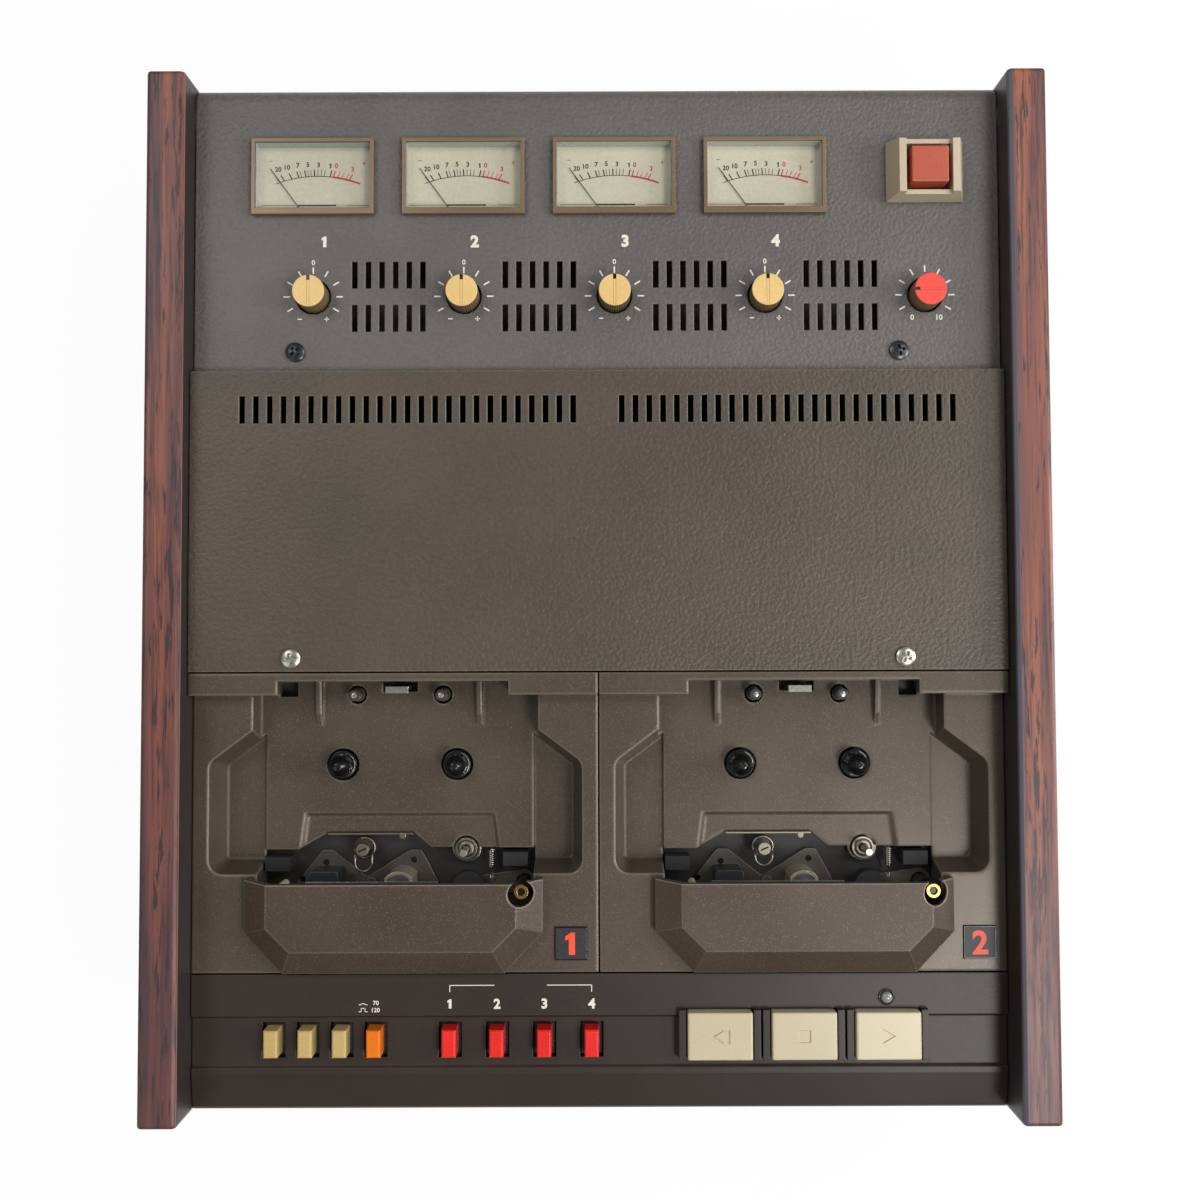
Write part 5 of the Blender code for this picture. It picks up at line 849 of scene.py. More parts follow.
legend = []
z = INK_ON_PANEL
for number, knob in enumerate(TRACK_KNOBS, start=1):
    low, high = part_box(knob)
    x, y = (low.x + high.x) / 2, (low.y + high.y) / 2
    legend += scale_strokes(x, y, z)
    legend.append(numeral("0", 1.8 * MM, (x, y + NOUGHT_RISE, z), bold=0.02))
    minus = [(x - 5.7 * MM, y - SIGN_DROP), (x - 4.1 * MM, y - SIGN_DROP)]
    legend.append(ribbon(minus, SIGN_LINE, z))
    legend += cross_mark(1.7 * MM, SIGN_LINE, (x + 5.0 * MM, y - SIGN_DROP, z))
    legend.append(numeral(str(number), 4.0 * MM, (x + TRACK_ACROSS, y + TRACK_RISE, z), bold=0.05))
low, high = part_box("monitor_knob")
x, y = (low.x + high.x) / 2, (low.y + high.y) / 2
legend += scale_strokes(x, y, z)
legend.append(numeral("0", 1.9 * MM, (x - 4.8 * MM, y - SIGN_DROP, z), bold=0.02))
legend.append(numeral("10", 1.9 * MM, (x + 5.2 * MM, y - SIGN_DROP, z), bold=0.02))
piece("knob_legends", legend, finishes["white_ink"], "chassis", closed=False)
print("legend parts:", len(legend))

# %% [markdown]
# ## Legends of the control panel
# Behind the red buttons stand the track numbers, gathered by a bracket line. Behind the orange
# button two small signs show the button in and out, beside plain numbers.

# %% Control legends
STRIP_RISE = 10.7 * MM
STRIP_Z = WELL_FLOOR + STRIP_RISE + LEGEND_LIFT
TRACK_ROW = -148.8 * MM
record_xs = [sum(v.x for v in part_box(f"record_button_{number}")) / 2 for number in range(1, 5)]
control = [numeral(str(number), 3.3 * MM, (x, TRACK_ROW, STRIP_Z), bold=0.04)
           for number, x in enumerate(record_xs, start=1)]
BRACKET_Y, BRACKET_END, BRACKET_LINE = -142.2 * MM, 2.4 * MM, 0.3 * MM
BRACKET_GAP = 9.5 * MM      # half the gap in the line behind the buttons
# Rows beside the orange button: place, number and the step in the sign.
EQUALISER_ROWS = ((-148.4 * MM, "70", 0.35 * MM), (-150.9 * MM, "120", 1.2 * MM))
SIGN_DOWN, SIGN_ACROSS, SIGN_STROKE = 0.6 * MM, 4.3 * MM, 0.25 * MM
bracket_middle = (record_xs[0] + record_xs[-1]) / 2
for end, way in ((record_xs[0], -1), (record_xs[-1], 1)):
    inner = bracket_middle + way * BRACKET_GAP
    control.append(ribbon([(inner, BRACKET_Y), (end, BRACKET_Y)], BRACKET_LINE, STRIP_Z))
    control.append(ribbon([(end, BRACKET_Y + BRACKET_LINE / 2), (end, BRACKET_Y - BRACKET_END)],
                          BRACKET_LINE, STRIP_Z))
equaliser_x = sum(v.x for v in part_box("equaliser_button")) / 2
for row, text, rise in EQUALISER_ROWS:
    control.append(numeral(text, 1.5 * MM, (equaliser_x + 0.3 * MM, row, STRIP_Z), bold=0.02))
    sign = np.array([(-1.6, 0), (-0.7, 0), (-0.7, rise / MM), (0.7, rise / MM), (0.7, 0), (1.6, 0)]) * MM
    place = np.array([equaliser_x - SIGN_ACROSS, row - SIGN_DOWN])
    for start, end in zip(sign[:-1], sign[1:]):
        control.append(ribbon([place + start, place + end], SIGN_STROKE, STRIP_Z))
piece("control_legends", control, finishes["white_ink"], "chassis", closed=False)
print("control legend parts:", len(control))

# %% [markdown]
# ## Copy lamp
# A light-emitting diode in grey resin pokes through the strip. It is a dome on a short cylinder,
# set in a turned black collar.

# %% Lamp
LAMP_PLACE = (103.7 * MM, -146.8 * MM, WELL_FLOOR)
finishes["lamp_resin"] = grained("grey_lamp_resin", "6f706c", "8a8b86", "d8d8d2", 1.5 * MM, 0.002 * MM,
                                 rough=0.08, rounding=0.1 * MM, IOR=1.55, Coat_Weight=0.6)
dome_angle = np.linspace(0, math.pi / 2, 10)
dome = [(0, 7.2), (2.1, 7.2)] + [(2.1 * math.cos(a), 11.2 + 1.5 * math.sin(a)) for a in dome_angle]
piece("copy_lamp", [turned(dome, LAMP_PLACE, 40)], finishes["lamp_resin"], "chassis")
collar = [(2.32, 10.75), (3.0, 10.75), (3.0, 10.95), (2.75, 11.15), (2.32, 11.05), (2.32, 10.75)]
piece("lamp_collar", [turned(collar, LAMP_PLACE, 40)], finishes["gloss_black"], "chassis")
print("lamp at", [round(v / MM, 1) for v in LAMP_PLACE])

# %% [markdown]
# ## Screws
# Pan-head screws hold the covers. The head is a turned dome, and the cross is pressed into it:
# wherever a point lies within a blade's width of either axis and inside the cross's reach, its
# height drops. Softening that edge over a fraction of a millimetre keeps the shading clean.

# %% Screw heads
BLADE_HALF, BLADE_SOFT = 0.17, 0.06         # shares of the head's radius
CROSS_REACH, REACH_SOFT = 0.6, 0.08
CROSS_DEPTH = 0.8                           # share of the head's rise
COVER_SCREW, CASE_SCREW = (3.5 * MM, 1.6 * MM), (2.8 * MM, 1.3 * MM)        # radius and rise
SCREW_X, COVER_SCREW_Y, PANEL_SCREW_Y = 110.5, -23.9, 88.1


def smooth_step(value):
    """0 below 0, 1 above 1, and 3 v v - 2 v v v between."""
    value = np.clip(value, 0, 1)
    return value * value * (3 - 2 * value)


def screw_part(x, y, z, radius, rise, turn):
    """A pan head: height = rise sqrt(1 - 0.75 r r), less the cross's depth near its two blades."""
    share = np.concatenate([np.linspace(0, 0.96, 40), [1.0, 1.0]])[:, None]
    angle = np.linspace(0, FULL_TURN, 160, endpoint=False)
    across, along = share * np.cos(angle), share * np.sin(angle)
    height = rise * np.sqrt(1 - 0.75 * np.minimum(share, 1) ** 2) * np.ones_like(across)
    blade = np.minimum(np.abs(across), np.abs(along))
    inside = (smooth_step((BLADE_HALF - blade) / BLADE_SOFT)
              * smooth_step((CROSS_REACH - share) / REACH_SOFT))
    height = height - CROSS_DEPTH * rise * inside
    height[-1] = 0
    cos, sin = math.cos(turn), math.sin(turn)
    points = np.stack([x + radius * (across * cos - along * sin),
                       y + radius * (across * sin + along * cos), z + height], axis=-1)
    return points, grid_quads(*across.shape)[:, ::-1]


def make_screws(name, y, z, turns, finish):
    """A left and a right screw on a flat surface, each turned as the driver left it."""
    parts = [screw_part(x * MM, y * MM, z, *COVER_SCREW, turn)
             for x, turn in zip((-SCREW_X, SCREW_X), turns)]
    piece(name, parts, finish, "chassis")


cover_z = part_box("mid_cover")[1].z
panel_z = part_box("meter_panel")[1].z
finishes["black_screw"] = grained(
    "black_oxide_screw", "3a3b3d", "505256", "9a9a98", 0.5 * MM, 0.004 * MM, rough=0.3,
    rounding=0.1 * MM, edge_share=0.0, Metallic=0.8)
make_screws("bright_cover_screws", COVER_SCREW_Y, cover_z, (0.3, 1.1), finishes["plated_steel"])
make_screws("dark_panel_screws", PANEL_SCREW_Y, panel_z, (0.7, 0.2), finishes["black_screw"])
print("screws set")

# %% [markdown]
# ## Deck badges
# A square plate of dark plastic with a black rim marks each deck. It carries a plain number.

# %% Badges
BADGE_HALF, BADGE_RIM = 6.0, 0.45
BADGE_ACROSS, BADGE_Y = 63.8, -127.3
DECKS = {"master": -74.0, "slave": 74.0}
finishes["badge_black"] = grained(
    "badge_black_acrylic", "232325", "2e2e31", "5a5a5e", 0.8 * MM, 0.003 * MM, rough=0.46, IOR=1.49)
finishes["badge_red"] = grained(
    "badge_red_print", "f2482a", "fc5836", "ff7a5c", 0.5 * MM, 0.002 * MM, rough=0.45, IOR=1.5)
DECK_RISE = 10.5 * MM
deck_z = WELL_FLOOR + DECK_RISE


def square_plate(x, y, half, low, high, chamfer):
    """A square plate with a chamfered top edge."""
    rings = [(0.0, low), (half, low), (half, high - chamfer), (half - chamfer, high), (0.0, high)]
    corners = np.array([(-1, -1), (1, -1), (1, 1), (-1, 1)])
    points = [np.column_stack([corners * size, np.full(4, height)]) for size, height in rings]
    return np.array(points) + np.array([x, y, 0]), grid_quads(len(rings), 4)


for number, (deck, centre) in enumerate(DECKS.items(), start=1):
    x, y = (centre + BADGE_ACROSS) * MM, BADGE_Y * MM
    rim = [square_plate(x, y, BADGE_HALF * MM, deck_z + 0.02 * MM, deck_z + 0.6 * MM, 0.2 * MM)]
    piece(f"badge_rim_{deck}", rim, finishes["gloss_black"], "chassis")
    face = [square_plate(x, y, (BADGE_HALF - BADGE_RIM) * MM, deck_z + 0.5 * MM, deck_z + 0.66 * MM,
                         0.05 * MM)]
    piece(f"badge_face_{deck}", face, finishes["badge_black"], "chassis")
    sign = [numeral(str(number), 8.0 * MM, (x, y, deck_z + 0.69 * MM), bold=0.03)]
    piece(f"badge_number_{deck}", sign, finishes["badge_red"], "chassis", closed=False)
print("badges:", len(DECKS))

# %% [markdown]
# ## Spindles
# Each spindle drives a cassette hub. Below its cone six ribs catch the hub's teeth, and a dimple
# marks the turning centre. A bronze spring clip lies round part of its foot.

# %% Spindles
HUB_RIBS, RIB_DEPTH = 6, 0.12
RIB_LOW, RIB_HIGH = 1.3, 7.3        # millimetres above the well floor
CLIP_RADIUS, CLIP_RISE, CLIP_RADIUS_OF_WIRE = 4.5 * MM, 1.42 * MM, 0.22 * MM
CLIP_ANGLES = np.radians(np.linspace(-70, 70, 41))


def hub_rib(angle, height):
    """Between the flange and the cone the radius falls by 12 % in the valleys between six ribs."""
    on_body = (height > RIB_LOW) & (height < RIB_HIGH)
    valley = smooth_step((0.55 - np.cos(HUB_RIBS * angle)) / 0.3)
    return 1 - RIB_DEPTH * valley * on_body


def make_spindle(name):
    """Turned spindle with its dimple, the drive wheel below the frame, and the spring clip."""
    low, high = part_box(name)
    centre = ((low.x + high.x) / 2, (low.y + high.y) / 2, WELL_FLOOR)
    wheel = (high.x - low.x) / 2 / MM
    foot = (low.z - WELL_FLOOR) / MM
    profile = [(0, foot), (wheel - 0.3, foot), (wheel, foot + 0.3), (wheel, foot + 3.7),
               (wheel - 0.3, foot + 4.0), (2.0, foot + 4.0), (2.0, -1.6), (5.0, -1.6), (5.2, -1.4),
               (5.2, 1.0), (5.0, 1.2), (3.9, 1.2), (3.9, 1.4), (3.9, 7.2), (3.9, 7.4), (3.7, 7.75),
               (1.45, 10.3), (1.2, 10.45), (0.5, 10.45), (0.3, 10.1), (0, 10.0)]
    spindle = piece(f"{name}_ribbed", [turned(profile, centre, 96, hub_rib)], finishes["gloss_black"],
                    name)
    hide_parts(name)
    ring = np.column_stack([centre[0] + CLIP_RADIUS * np.cos(CLIP_ANGLES),
                            centre[1] + CLIP_RADIUS * np.sin(CLIP_ANGLES),
                            np.full(len(CLIP_ANGLES), WELL_FLOOR + CLIP_RISE)])
    piece(f"{name}_ring", [tube(ring, CLIP_RADIUS_OF_WIRE, 8)], finishes["bearing_metal"], name)


SPINDLES = [name for name in sorted(nodes) if "spindle" in name]
for spindle_name in SPINDLES:
    make_spindle(spindle_name)
print("spindles:", len(SPINDLES))

# %% [markdown]
# ## Bright parts of the transport
# Locating pins, latch, guide, capstan bearing and pivot nut are metal pieces that stand on the
# painted frame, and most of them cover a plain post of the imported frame. So nothing needs to be cut
# away. A part can be placed in millimetres from the middle of its deck's two spindles.

# %% Places and straight-sided pieces
HUB_Y = (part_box("supply_spindle_master")[0].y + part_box("supply_spindle_master")[1].y) / 2


def deck_place(deck, x, y, z=0.0):
    """A place given from the middle of a deck's two spindles and its well floor, in millimetres."""
    return np.array([(DECKS[deck] + x) * MM, HUB_Y + y * MM, WELL_FLOOR + z * MM])


def prism(outline, low, high, axis="Z"):
    """A flat outline in millimetres carried from low to high along X or Z: its sides and two ends."""
    outline = np.array(outline, float)
    rows = [np.column_stack([outline, np.full(len(outline), level)]) for level in (low, high)]
    order = [0, 1, 2] if axis == "Z" else [2, 0, 1]
    points = np.stack(rows)[..., order]
    end = np.arange(len(outline))[None]
    return [(points, grid_quads(2, len(outline))), (points[0], end), (points[1], end)]


def on_deck(deck, parts):
    """Parts in deck millimetres moved to their deck."""
    return [(np.asarray(points) * MM + deck_place(deck, 0, 0), faces) for points, faces in parts]


print("hub line at y", round(HUB_Y / MM, 1), "mm")

# %% [markdown]
# A pin, a bearing or a nut is a turned profile of (radius, height) in millimetres. One that ends
# where it starts is a ring with a hole. The latch is folded sheet: its outline is carried across.

# %% Pins, latch, bearing and pivot nut
PIN_X, PIN_Y = 16.0, 25.9
BEARING_PLACE, NUT_PLACE = (24.5, -31.6), (46.0, -44.3)
LATCH_HALF = 4.18
pin_skin = [(2.13, -5.9), (2.13, 5.4), (1.8, 6.15), (1.0, 6.5), (0, 6.56)]
pin_boss = [(2.62, -5.9), (2.62, -1.2), (2.45, -0.96), (2.16, -0.96), (2.16, -5.9), (2.62, -5.9)]
bearing_cap = [(3.3, -1.38), (4.1, -1.38), (4.1, -1.25), (4.0, -1.16), (3.4, -1.16), (3.3, -1.25),
               (3.3, -1.38)]
bearing_hub = [(1.6, -1.38), (2.7, -1.38), (2.7, -1.2), (2.55, -1.1), (1.8, -1.1), (1.6, -1.2),
               (1.6, -1.38)]
bearing_ring = [(4.26, -3.78), (5.4, -3.78), (5.4, -3.62), (5.3, -3.55), (4.35, -3.55), (4.26, -3.62),
                (4.26, -3.78)]
nut = [(1.25, 14.6), (1.25, 15.1), (1.5, 15.35), (2.5, 15.35), (2.79, 15.0), (2.79, 6.0), (1.25, 6.0),
       (1.25, 14.6)]
# A black disc near the top of the nut's bore: painted shade of the hole.
nut_hole_shade = [(0, 14.52), (1.3, 14.52), (1.3, 14.6), (0, 14.6)]
latch_fold = [(27.97, -5.9), (29.23, -5.9), (29.23, 8.03), (26.77, 8.03), (26.77, 6.77), (27.97, 6.77)]
for deck in DECKS:
    pins = [turned(pin_skin, deck_place(deck, x, PIN_Y), 32) for x in (-PIN_X, PIN_X)]
    bosses = [turned(pin_boss, deck_place(deck, x, PIN_Y), 32) for x in (-PIN_X, PIN_X)]
    bearing = [turned(shape, deck_place(deck, *BEARING_PLACE), 64)
               for shape in (bearing_cap, bearing_hub, bearing_ring)]
    piece(f"pin_tips_{deck}", pins, finishes["plated_steel"], "chassis")
    piece(f"pin_bosses_{deck}", bosses, finishes["stamped_steel"], "chassis")
    piece(f"capstan_bearing_{deck}", bearing, finishes["bearing_metal"], "chassis")
    piece(f"pivot_nut_{deck}", [turned(nut, deck_place(deck, *NUT_PLACE), 48)], finishes["brass"],
          "chassis")
    # Painted shade: a black disc in the nut's hole.
    piece(f"pivot_hole_shade_{deck}", [turned(nut_hole_shade, deck_place(deck, *NUT_PLACE), 32)],
          finishes["gloss_black"], "chassis")
    fold = prism(latch_fold, -LATCH_HALF, LATCH_HALF, axis="X")
    piece(f"latch_plate_{deck}", on_deck(deck, fold), finishes["plated_steel"], "chassis")
print("posts dressed on", len(DECKS), "decks")

# %% [markdown]
# The tape guide is a slotted post in a bent wire clip. The clip is one path: an open ring round the
# post, and a U that stands higher and points at the operator. A half circle joins the U's two legs.

# %% Tape guides
GUIDE = (-13.1, -30.9)
guide_skin = [(0, -0.3), (1.53, -0.3), (1.53, 4.15), (2.43, 4.15), (2.43, 4.8), (2.2, 5.05),
              (0, 5.05)]
RING_TURNS = {"master": (185, 470), "slave": (-55, 235)}    # degrees where the ring starts and ends
U_FRONTS = {"master": -39.1, "slave": -37.4}
U_HALF, U_RISE, RING_RADIUS, CLIP_WIRE = 3.15, 2.5, 3.7, 0.42


def ring_path(deck):
    """The open ring: x = r cos a, y = r sin a about the guide post."""
    angle = np.radians(np.linspace(*RING_TURNS[deck], 49))
    return np.column_stack([GUIDE[0] + RING_RADIUS * np.cos(angle),
                            GUIDE[1] + RING_RADIUS * np.sin(angle), np.zeros(len(angle))])


def u_path(deck):
    """The U: two legs and a half circle of the same width, raised above the ring."""
    middle = U_FRONTS[deck] + U_HALF
    angle = np.radians(np.linspace(180, 360, 25))
    bow = np.column_stack([GUIDE[0] + U_HALF * np.cos(angle), middle + U_HALF * np.sin(angle),
                           np.full(len(angle), U_RISE)])
    legs = [[(GUIDE[0] + way * U_HALF, GUIDE[1] - 1.2, 0.2),
             (GUIDE[0] + way * U_HALF, GUIDE[1] - 2.4, 2.2)] for way in (-1, 1)]
    return np.vstack([legs[0], bow, legs[1][::-1]])


for deck in DECKS:
    piece(f"guide_post_{deck}", [turned(guide_skin, deck_place(deck, *GUIDE), 40)],
          finishes["bearing_metal"], "chassis")
    clip = [tube(path, CLIP_WIRE, 12) for path in (ring_path(deck), u_path(deck))]
    piece(f"guide_clip_{deck}", on_deck(deck, clip), finishes["bearing_metal"], "chassis")
    # The post's slot is a flat black strip on its top: painted shade of the slot.
    slot_shade = [ribbon([(GUIDE[0] - 1.5, GUIDE[1] - 0.6), (GUIDE[0] + 1.5, GUIDE[1] + 0.6)], 0.6, 5.07)]
    piece(f"guide_slot_shade_{deck}", on_deck(deck, slot_shade), finishes["gloss_black"], "chassis", closed=False)
print("guides with clips:", len(DECKS))

# %% [markdown]
# The record head sits in a bright metal can with a grey face plate, and the erase head in a dark
# moulding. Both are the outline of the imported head, grown by a twentieth of a millimetre.

# %% Head cans
RECORD_X, RECORD_HALF, RECORD_FRONT = 0.8, 5.0, -48.2
RECORD_ARC_Y, RECORD_ARC_RADIUS = -44.6, 6.4
ERASE_X, ERASE_Y = -26.4, -42.2
ERASE_HALF_WIDTH, ERASE_HALF_DEPTH, ERASE_ROUNDING = 5.0, 4.0, 1.0
CAN_LOW, CAN_HIGH, CAN_GROWTH = -4.15, 8.53, 0.05


def record_outline(grow):
    """The record head from above: a square block whose rear face is an arc."""
    half, radius = RECORD_HALF + grow, RECORD_ARC_RADIUS + grow
    reach = math.asin(half / radius)
    sweep = np.linspace(reach, -reach, 17)
    arc = np.column_stack([RECORD_X + radius * np.sin(sweep), RECORD_ARC_Y + radius * np.cos(sweep)])
    front = RECORD_FRONT - grow
    return np.vstack([[(RECORD_X - half, front), (RECORD_X + half, front)], arc])


def erase_outline(grow):
    """The erase head from above: a rectangle whose corners are quarter circles."""
    corners = []
    radius = ERASE_ROUNDING + grow
    for turn, (across, along) in enumerate(((1, 1), (-1, 1), (-1, -1), (1, -1))):
        angle = np.radians(np.linspace(90 * turn, 90 * turn + 90, 6))
        x = ERASE_X + across * (ERASE_HALF_WIDTH - ERASE_ROUNDING) + radius * np.cos(angle)
        y = ERASE_Y + along * (ERASE_HALF_DEPTH - ERASE_ROUNDING) + radius * np.sin(angle)
        corners.append(np.column_stack([x, y]))
    return np.vstack(corners)


for deck in DECKS:
    body = f"head_carriage_{deck}"
    for name, outline, low, high, finish in (
            ("record_can", record_outline(CAN_GROWTH), CAN_LOW, CAN_HIGH, "head_can"),
            ("record_face", record_outline(-0.8), 8.4, 8.6, "zinc_steel"),
            ("erase_shell", erase_outline(CAN_GROWTH), CAN_LOW, CAN_HIGH, "erase_moulding")):
        piece(f"{name}_{deck}", on_deck(deck, prism(outline, low, high)), finishes[finish], body)
print("heads canned:", 2 * len(DECKS))

# %% [markdown]
# Behind the head cover's edge shows a bright shield plate, and along the opening's rear edge a thin
# steel rail. The return spring is a helix: x and z follow a circle while y moves steadily on. It
# stays as it is at rest when the carriage moves.

# %% Rail, shield and return spring
SPRING_COILS, SPRING_RADIUS, SPRING_WIRE = 8, 1.15, 0.27
SPRING_X, SPRING_REAR, SPRING_FRONT, SPRING_AXIS = 34.0, -31.9, -38.0, -1.6
RAIL_REAR, RAIL_FRONT = -25.47, -26.05
HANGER_XS, HANGER_Y, HANGER_TOP = (-30, 12), -47, 18.15
HOLES = ((-28.3, -36.9), (4.6, -36.0), (-37.2, -43.0))


def spring_path():
    """Helix along y from the rear hook, then a straight wire and an eye in front."""
    turn = np.linspace(0, SPRING_COILS * FULL_TURN, SPRING_COILS * 16 + 1)
    helix = np.column_stack([SPRING_X + SPRING_RADIUS * np.sin(turn),
                             np.linspace(SPRING_REAR, SPRING_FRONT, len(turn)),
                             SPRING_AXIS + SPRING_RADIUS * np.cos(turn)])
    hook = [(SPRING_X, -31.25, -5.8), (SPRING_X, -31.3, -2.0), (SPRING_X, -31.5, -0.7)]
    eye = [(SPRING_X, -38.6, -0.9), (SPRING_X, -39.6, -1.6), (SPRING_X, -41.4, -1.8),
           (34.4, -42.2, -1.8), (33.9, -42.8, -1.8), (33.4, -42.2, -1.8), (33.7, -41.4, -1.8)]
    return np.vstack([hook, helix, eye])


for deck in DECKS:
    rail = prism([(RAIL_FRONT, -1.2), (RAIL_REAR, -1.2), (RAIL_REAR, 0.15), (RAIL_FRONT, 0.15)],
                 -26.8, 4.8, axis="X")
    tab = turned([(0, -0.6), (1.25, -0.6), (1.25, 0.0), (1.05, 0.2), (0, 0.2)],
                 deck_place(deck, 1.0, -26.6), 24)
    piece(f"opening_rail_{deck}", on_deck(deck, rail) + [tab], finishes["bearing_metal"], "chassis")
    plate = prism([(-33, -50), (15.4, -50), (15.4, -41.7), (-33, -41.7)], 8.8, 9.2)
    hanger = [(0, 9.2), (1.5, 9.2), (1.5, HANGER_TOP), (0, HANGER_TOP)]
    hangers = [turned(hanger, deck_place(deck, x, HANGER_Y), 24) for x in HANGER_XS]
    piece(f"head_shield_{deck}", on_deck(deck, plate) + hangers, finishes["plated_steel"], "chassis")
    stub = [(0, 7.4), (0.9, 7.4), (1.3, 7.9), (1.3, HANGER_TOP), (0, HANGER_TOP)]
    piece(f"cover_stub_{deck}", [turned(stub, deck_place(deck, -40.3, -42.1), 24)],
          finishes["cream_abs"], "chassis")
    piece(f"return_spring_{deck}", on_deck(deck, [tube(spring_path(), SPRING_WIRE, 8)]),
          finishes["plated_steel"], "chassis")
    caps = prism([(38.45, -37.35), (47.55, -37.35), (47.55, -32.25), (38.45, -32.25)], -5.9, 2.55)
    caps += prism([(-49.55, -39.05), (-40.45, -39.05), (-40.45, -33.95), (-49.55, -33.95)], -5.9, 2.55)
    piece(f"bracket_caps_{deck}", on_deck(deck, caps), finishes["rubber"], "chassis")
    # Dark discs on the carriage where it has holes: painted shade of the holes.
    hole = [(0, -4.3), (1.15, -4.3), (1.15, -4.12), (0, -4.12)]
    hole_shades = [turned(hole, deck_place(deck, x, y), 24) for x, y in HOLES]
    piece(f"carriage_hole_shades_{deck}", hole_shades, finishes["gloss_black"], f"head_carriage_{deck}")
    boss = [(0, -4.18), (2.0, -4.18), (2.0, -2.9), (1.75, -2.6), (0.8, -2.6), (0.7, -2.8),
            (0, -2.8)]
    piece(f"carriage_boss_{deck}", [turned(boss, deck_place(deck, -11.2, -44.0), 32)],
          finishes["stamped_steel"], f"head_carriage_{deck}")
print("springs:", len(DECKS), "coils each:", SPRING_COILS)

# %% [markdown]
# ## Back and underside
# Eight sockets and the mains inlet fill the rear panel. They are turned parts laid over to face
# the rear. The inlet holds three brass pins.

# %% Rear panel
SOCKET_RISE = 4.0 * MM                  # how far the sockets stand out of the sheet
REAR_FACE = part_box("rear_panel")[1].y - SOCKET_RISE
panel_low, panel_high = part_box("rear_panel")
SOCKET_MIDDLE = (panel_low.z + panel_high.z) / 2 + 2.4 * MM
PANEL_HALF_WIDTH = 147.6 * MM
INLET_X = PANEL_HALF_WIDTH - 35.7 * MM
INLET_PINS = ((-5.0, 0), (5.0, 0), (0, 4.5))


def facing_back(part, place):
    """An upright turned part laid over to face the rear: (x, y, z) becomes (-x, z, y)."""
    points = np.asarray(part[0])
    laid = np.stack([-points[..., 0], points[..., 2], points[..., 1]], axis=-1)
    return laid + np.array(place), part[1]


pin = [(0, -13.5), (1.3, -13.5), (1.3, -3.2), (1.0, -2.6), (0, -2.4)]
pins = [facing_back(turned(pin, (0, 0, 0), 24),
                    (INLET_X + across * MM, REAR_FACE, SOCKET_MIDDLE + up * MM))
        for across, up in INLET_PINS]
piece("inlet_pins", pins, finishes["brass"], "chassis")
print("inlet pins:", len(pins))

# %% [markdown]
# The rear screws are the same pan heads, laid over to face the rear. Those of the tray are turned
# upside down under its floor.

# %% Case screws
SCREW_INSET, SCREW_FROM_FOOT, SCREW_FROM_TOP = 9 * MM, 8 * MM, 11 * MM
TRAY_XS, TRAY_YS = (-90.0, 0.0, 90.0), (-150.0, 0.0, 150.0)
SCREW_GAP = 0.02 * MM
case_screws = []
for x in (-PANEL_HALF_WIDTH + SCREW_INSET, 0.0, PANEL_HALF_WIDTH - SCREW_INSET):
    for z in (panel_low.z + SCREW_FROM_FOOT, panel_high.z - SCREW_FROM_TOP):
        points, faces = screw_part(0, 0, 0, *CASE_SCREW, x * 20 + z * 35)
        case_screws.append(facing_back((points, faces), (x, REAR_FACE + SCREW_GAP, z)))
piece("rear_screws", case_screws, finishes["black_screw"], "chassis")
tray_screws = []
tray_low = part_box("chassis_tray")[0]
for x in TRAY_XS:
    for y in TRAY_YS:
        points, faces = screw_part(0, 0, 0, *CASE_SCREW, x + y)
        under = points * np.array([1, -1, -1]) + np.array([x * MM, y * MM, tray_low.z - SCREW_GAP])
        tray_screws.append((under, faces))
piece("tray_screws", tray_screws, finishes["plated_steel"], "chassis")
print("screws on the case:", len(case_screws) + len(tray_screws))

# %% [markdown]
# Each socket has a bright sleeve round a coloured plug of plastic, white in one row and red in the
# other. Both are rings whose profile ends where it starts.

# %% Sockets
FIRST_SOCKET, SOCKET_PITCH = 29.7 * MM, 18.0 * MM
SOCKET_ROWS = ((-10.0, "white"), (10.0, "red"))
sleeve = [(2.9, 0), (4.22, 0), (4.22, 0.3), (4.0, 0.5), (3.1, 0.5), (2.9, 0.3), (2.9, 0)]
core = [(1.85, -3.0), (2.9, -3.0), (2.9, 0.2), (2.7, 0.32), (2.0, 0.32), (1.85, 0.2), (1.85, -3.0)]
sleeves, cores = [], {"white": [], "red": []}
for row, colour in SOCKET_ROWS:
    for column in range(4):
        x = FIRST_SOCKET - PANEL_HALF_WIDTH + SOCKET_PITCH * column
        place = (x, REAR_FACE + SOCKET_RISE, SOCKET_MIDDLE + row * MM)
        sleeves.append(facing_back(turned(sleeve, (0, 0, 0), 40), place))
        cores[colour].append(facing_back(turned(core, (0, 0, 0), 32), place))
piece("socket_sleeves", sleeves, finishes["plated_steel"], "chassis")
piece("socket_cores_white", cores["white"], finishes["cream_abs"], "chassis")
piece("socket_cores_red", cores["red"], finishes["red_core"], "chassis")
print("sockets:", len(sleeves))

# %% [markdown]
# ## Studio
# The reference is shot from nearly straight above on a white table. The floor is pale and matt.
# Where the camera sees it, in reflections too, nearly all of it glows white, and a small share
# keeps the soft shadow. The world gives a little even light and looks white to the camera.

# %% Floor and world
FLOOR_HALF, FLOOR_DROP = 2.5, 0.1 * MM
FLOOR_GLOW = 0.95           # share of the table that is even white where it is seen
WORLD_LIGHT = 0.22


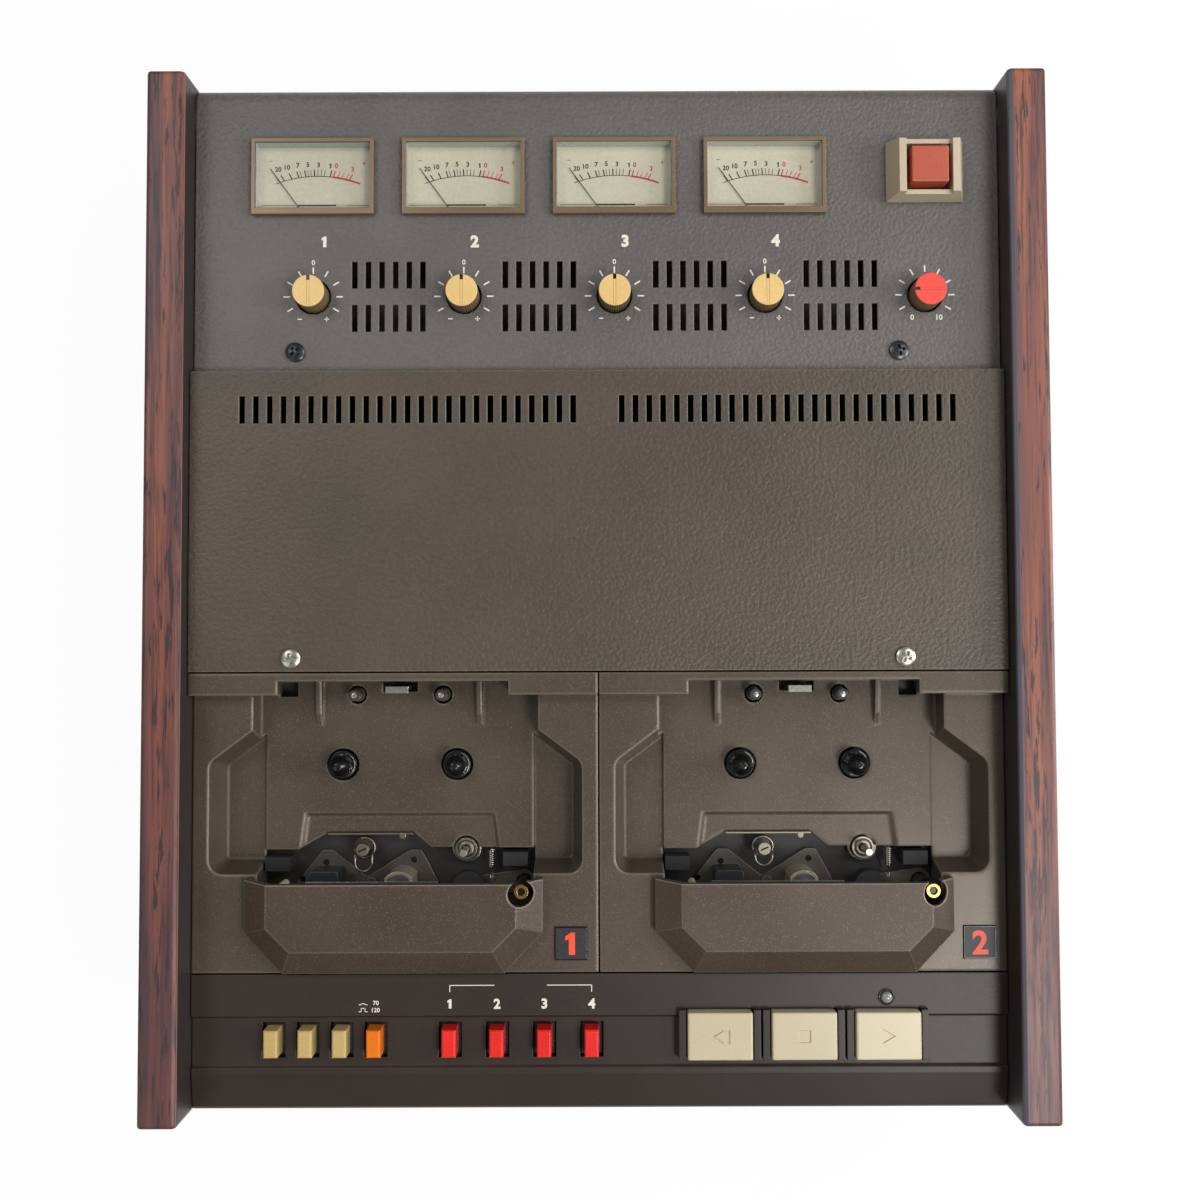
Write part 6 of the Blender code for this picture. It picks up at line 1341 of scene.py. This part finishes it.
def white_table():
    """Matt card: faint mottling, mixed with an even white where the camera or a gloss sees it."""
    material, tree, shader = start_finish("white_table_card", Roughness=0.9)
    where = add(tree, "TexCoord").outputs["Object"]
    mottle = add(tree, "TexNoise", {"Vector": where, "Scale": 1 / (60 * MM), "Detail": 3.0})
    colour = ramp(tree, mottle.outputs["Fac"], (0.3, "eeeeec"), (0.7, "f3f3f1"))
    tree.links.new(colour, shader.inputs["Base Color"])
    path = add(tree, "LightPath")
    direct = add(tree, "Math", {0: path.outputs["Is Camera Ray"], 1: path.outputs["Is Glossy Ray"]},
                 operation="MAXIMUM")
    seen = add(tree, "Math", {0: direct.outputs[0], 1: path.outputs["Is Transmission Ray"]},
               operation="MAXIMUM")
    share = add(tree, "Math", {0: seen.outputs[0], 1: FLOOR_GLOW}, operation="MULTIPLY")
    glow = add(tree, "Emission", {"Color": (1, 1, 1, 1), "Strength": 1.0})
    mix = add(tree, "MixShader", {0: share.outputs[0], 1: shader.outputs[0], 2: glow.outputs[0]})
    tree.links.new(mix.outputs[0], tree.nodes["Material Output"].inputs["Surface"])
    return material


floor_mesh = bpy.data.meshes.new("table")
steps = np.linspace(-FLOOR_HALF, FLOOR_HALF, 9)
floor_points = np.stack([*np.meshgrid(steps, steps), np.full((9, 9), -FLOOR_DROP)], axis=-1)
floor_mesh.from_pydata(floor_points.reshape(-1, 3).tolist(), [],
                       grid_quads(9, 9, ring=False).tolist())
floor_mesh.materials.append(white_table())
table = bpy.data.objects.new("table", floor_mesh)
bpy.context.scene.collection.objects.link(table)

world = bpy.data.worlds.new("studio")
bpy.context.scene.world = world
world.use_nodes = True
world_tree = world.node_tree
background = world_tree.nodes["Background"]
path = add(world_tree, "LightPath")
level = add(world_tree, "MapRange", {"Value": path.outputs["Is Camera Ray"], "To Min": WORLD_LIGHT,
                                     "To Max": 1.0})
world_tree.links.new(level.outputs[0], background.inputs["Strength"])
background.inputs["Color"].default_value = (1.0, 1.0, 1.0, 1.0)
print("table", FLOOR_HALF * 2, "m wide")

# %% [markdown]
# The key lamp is a soft box front right. A lower one stands on the right, and three weaker ones
# open the shadows. Each has a name, a place and a width in metres, and a power in watts.

# %% Lamps
LAMPS = (("key_front_right", (0.62, -0.55, 1.25), 0.4, 8.6),
         ("low_right", (1.05, 0.0, 0.6), 0.45, 7.0),
         ("rear_left", (-0.65, 0.5, 1.15), 0.5, 3.4),
         ("rear_right", (0.8, 0.5, 1.2), 0.5, 4.4),
         ("front_left", (-0.85, -0.55, 1.0), 0.6, 1.4))
MACHINE_MIDDLE = (packed_low + packed_high) / 2


def soft_lamp(name, place, size, power):
    """A square soft box that faces the middle of the machine."""
    lamp = bpy.data.lights.new(name, "AREA")
    lamp.size = size
    lamp.energy = power
    holder = bpy.data.objects.new(name, lamp)
    bpy.context.scene.collection.objects.link(holder)
    holder.location = place
    aim = MACHINE_MIDDLE - holder.location
    holder.rotation_euler = aim.to_track_quat("-Z", "Y").to_euler()


for lamp in LAMPS:
    soft_lamp(*lamp)
print("lamps:", len(LAMPS))

# %% [markdown]
# The camera looks down from half a metre with a tilt of two degrees. Place, tilt and lens are set
# so that the picture lies over the photograph. The Standard view keeps whites white.

# %% Camera
CAMERA_PLACE = (0.65 * MM, -18.2 * MM, 529.6 * MM)
CAMERA_TILT, CAMERA_ROLL = math.radians(2.025), math.radians(-0.2)
SENSOR_WIDTH, FOCAL_LENGTH, NEAR_CLIP = 36.0, 35.4, 0.01
camera = bpy.data.cameras.new("camera")
camera.sensor_width = SENSOR_WIDTH
camera.lens = FOCAL_LENGTH
camera.clip_start = NEAR_CLIP
eye = bpy.data.objects.new("camera", camera)
bpy.context.scene.collection.objects.link(eye)
eye.location = CAMERA_PLACE
eye.rotation_euler = (CAMERA_TILT, 0.0, CAMERA_ROLL)
bpy.context.scene.camera = eye
bpy.context.scene.view_settings.view_transform = "Standard"
print("camera at", [round(v / MM, 1) for v in CAMERA_PLACE])
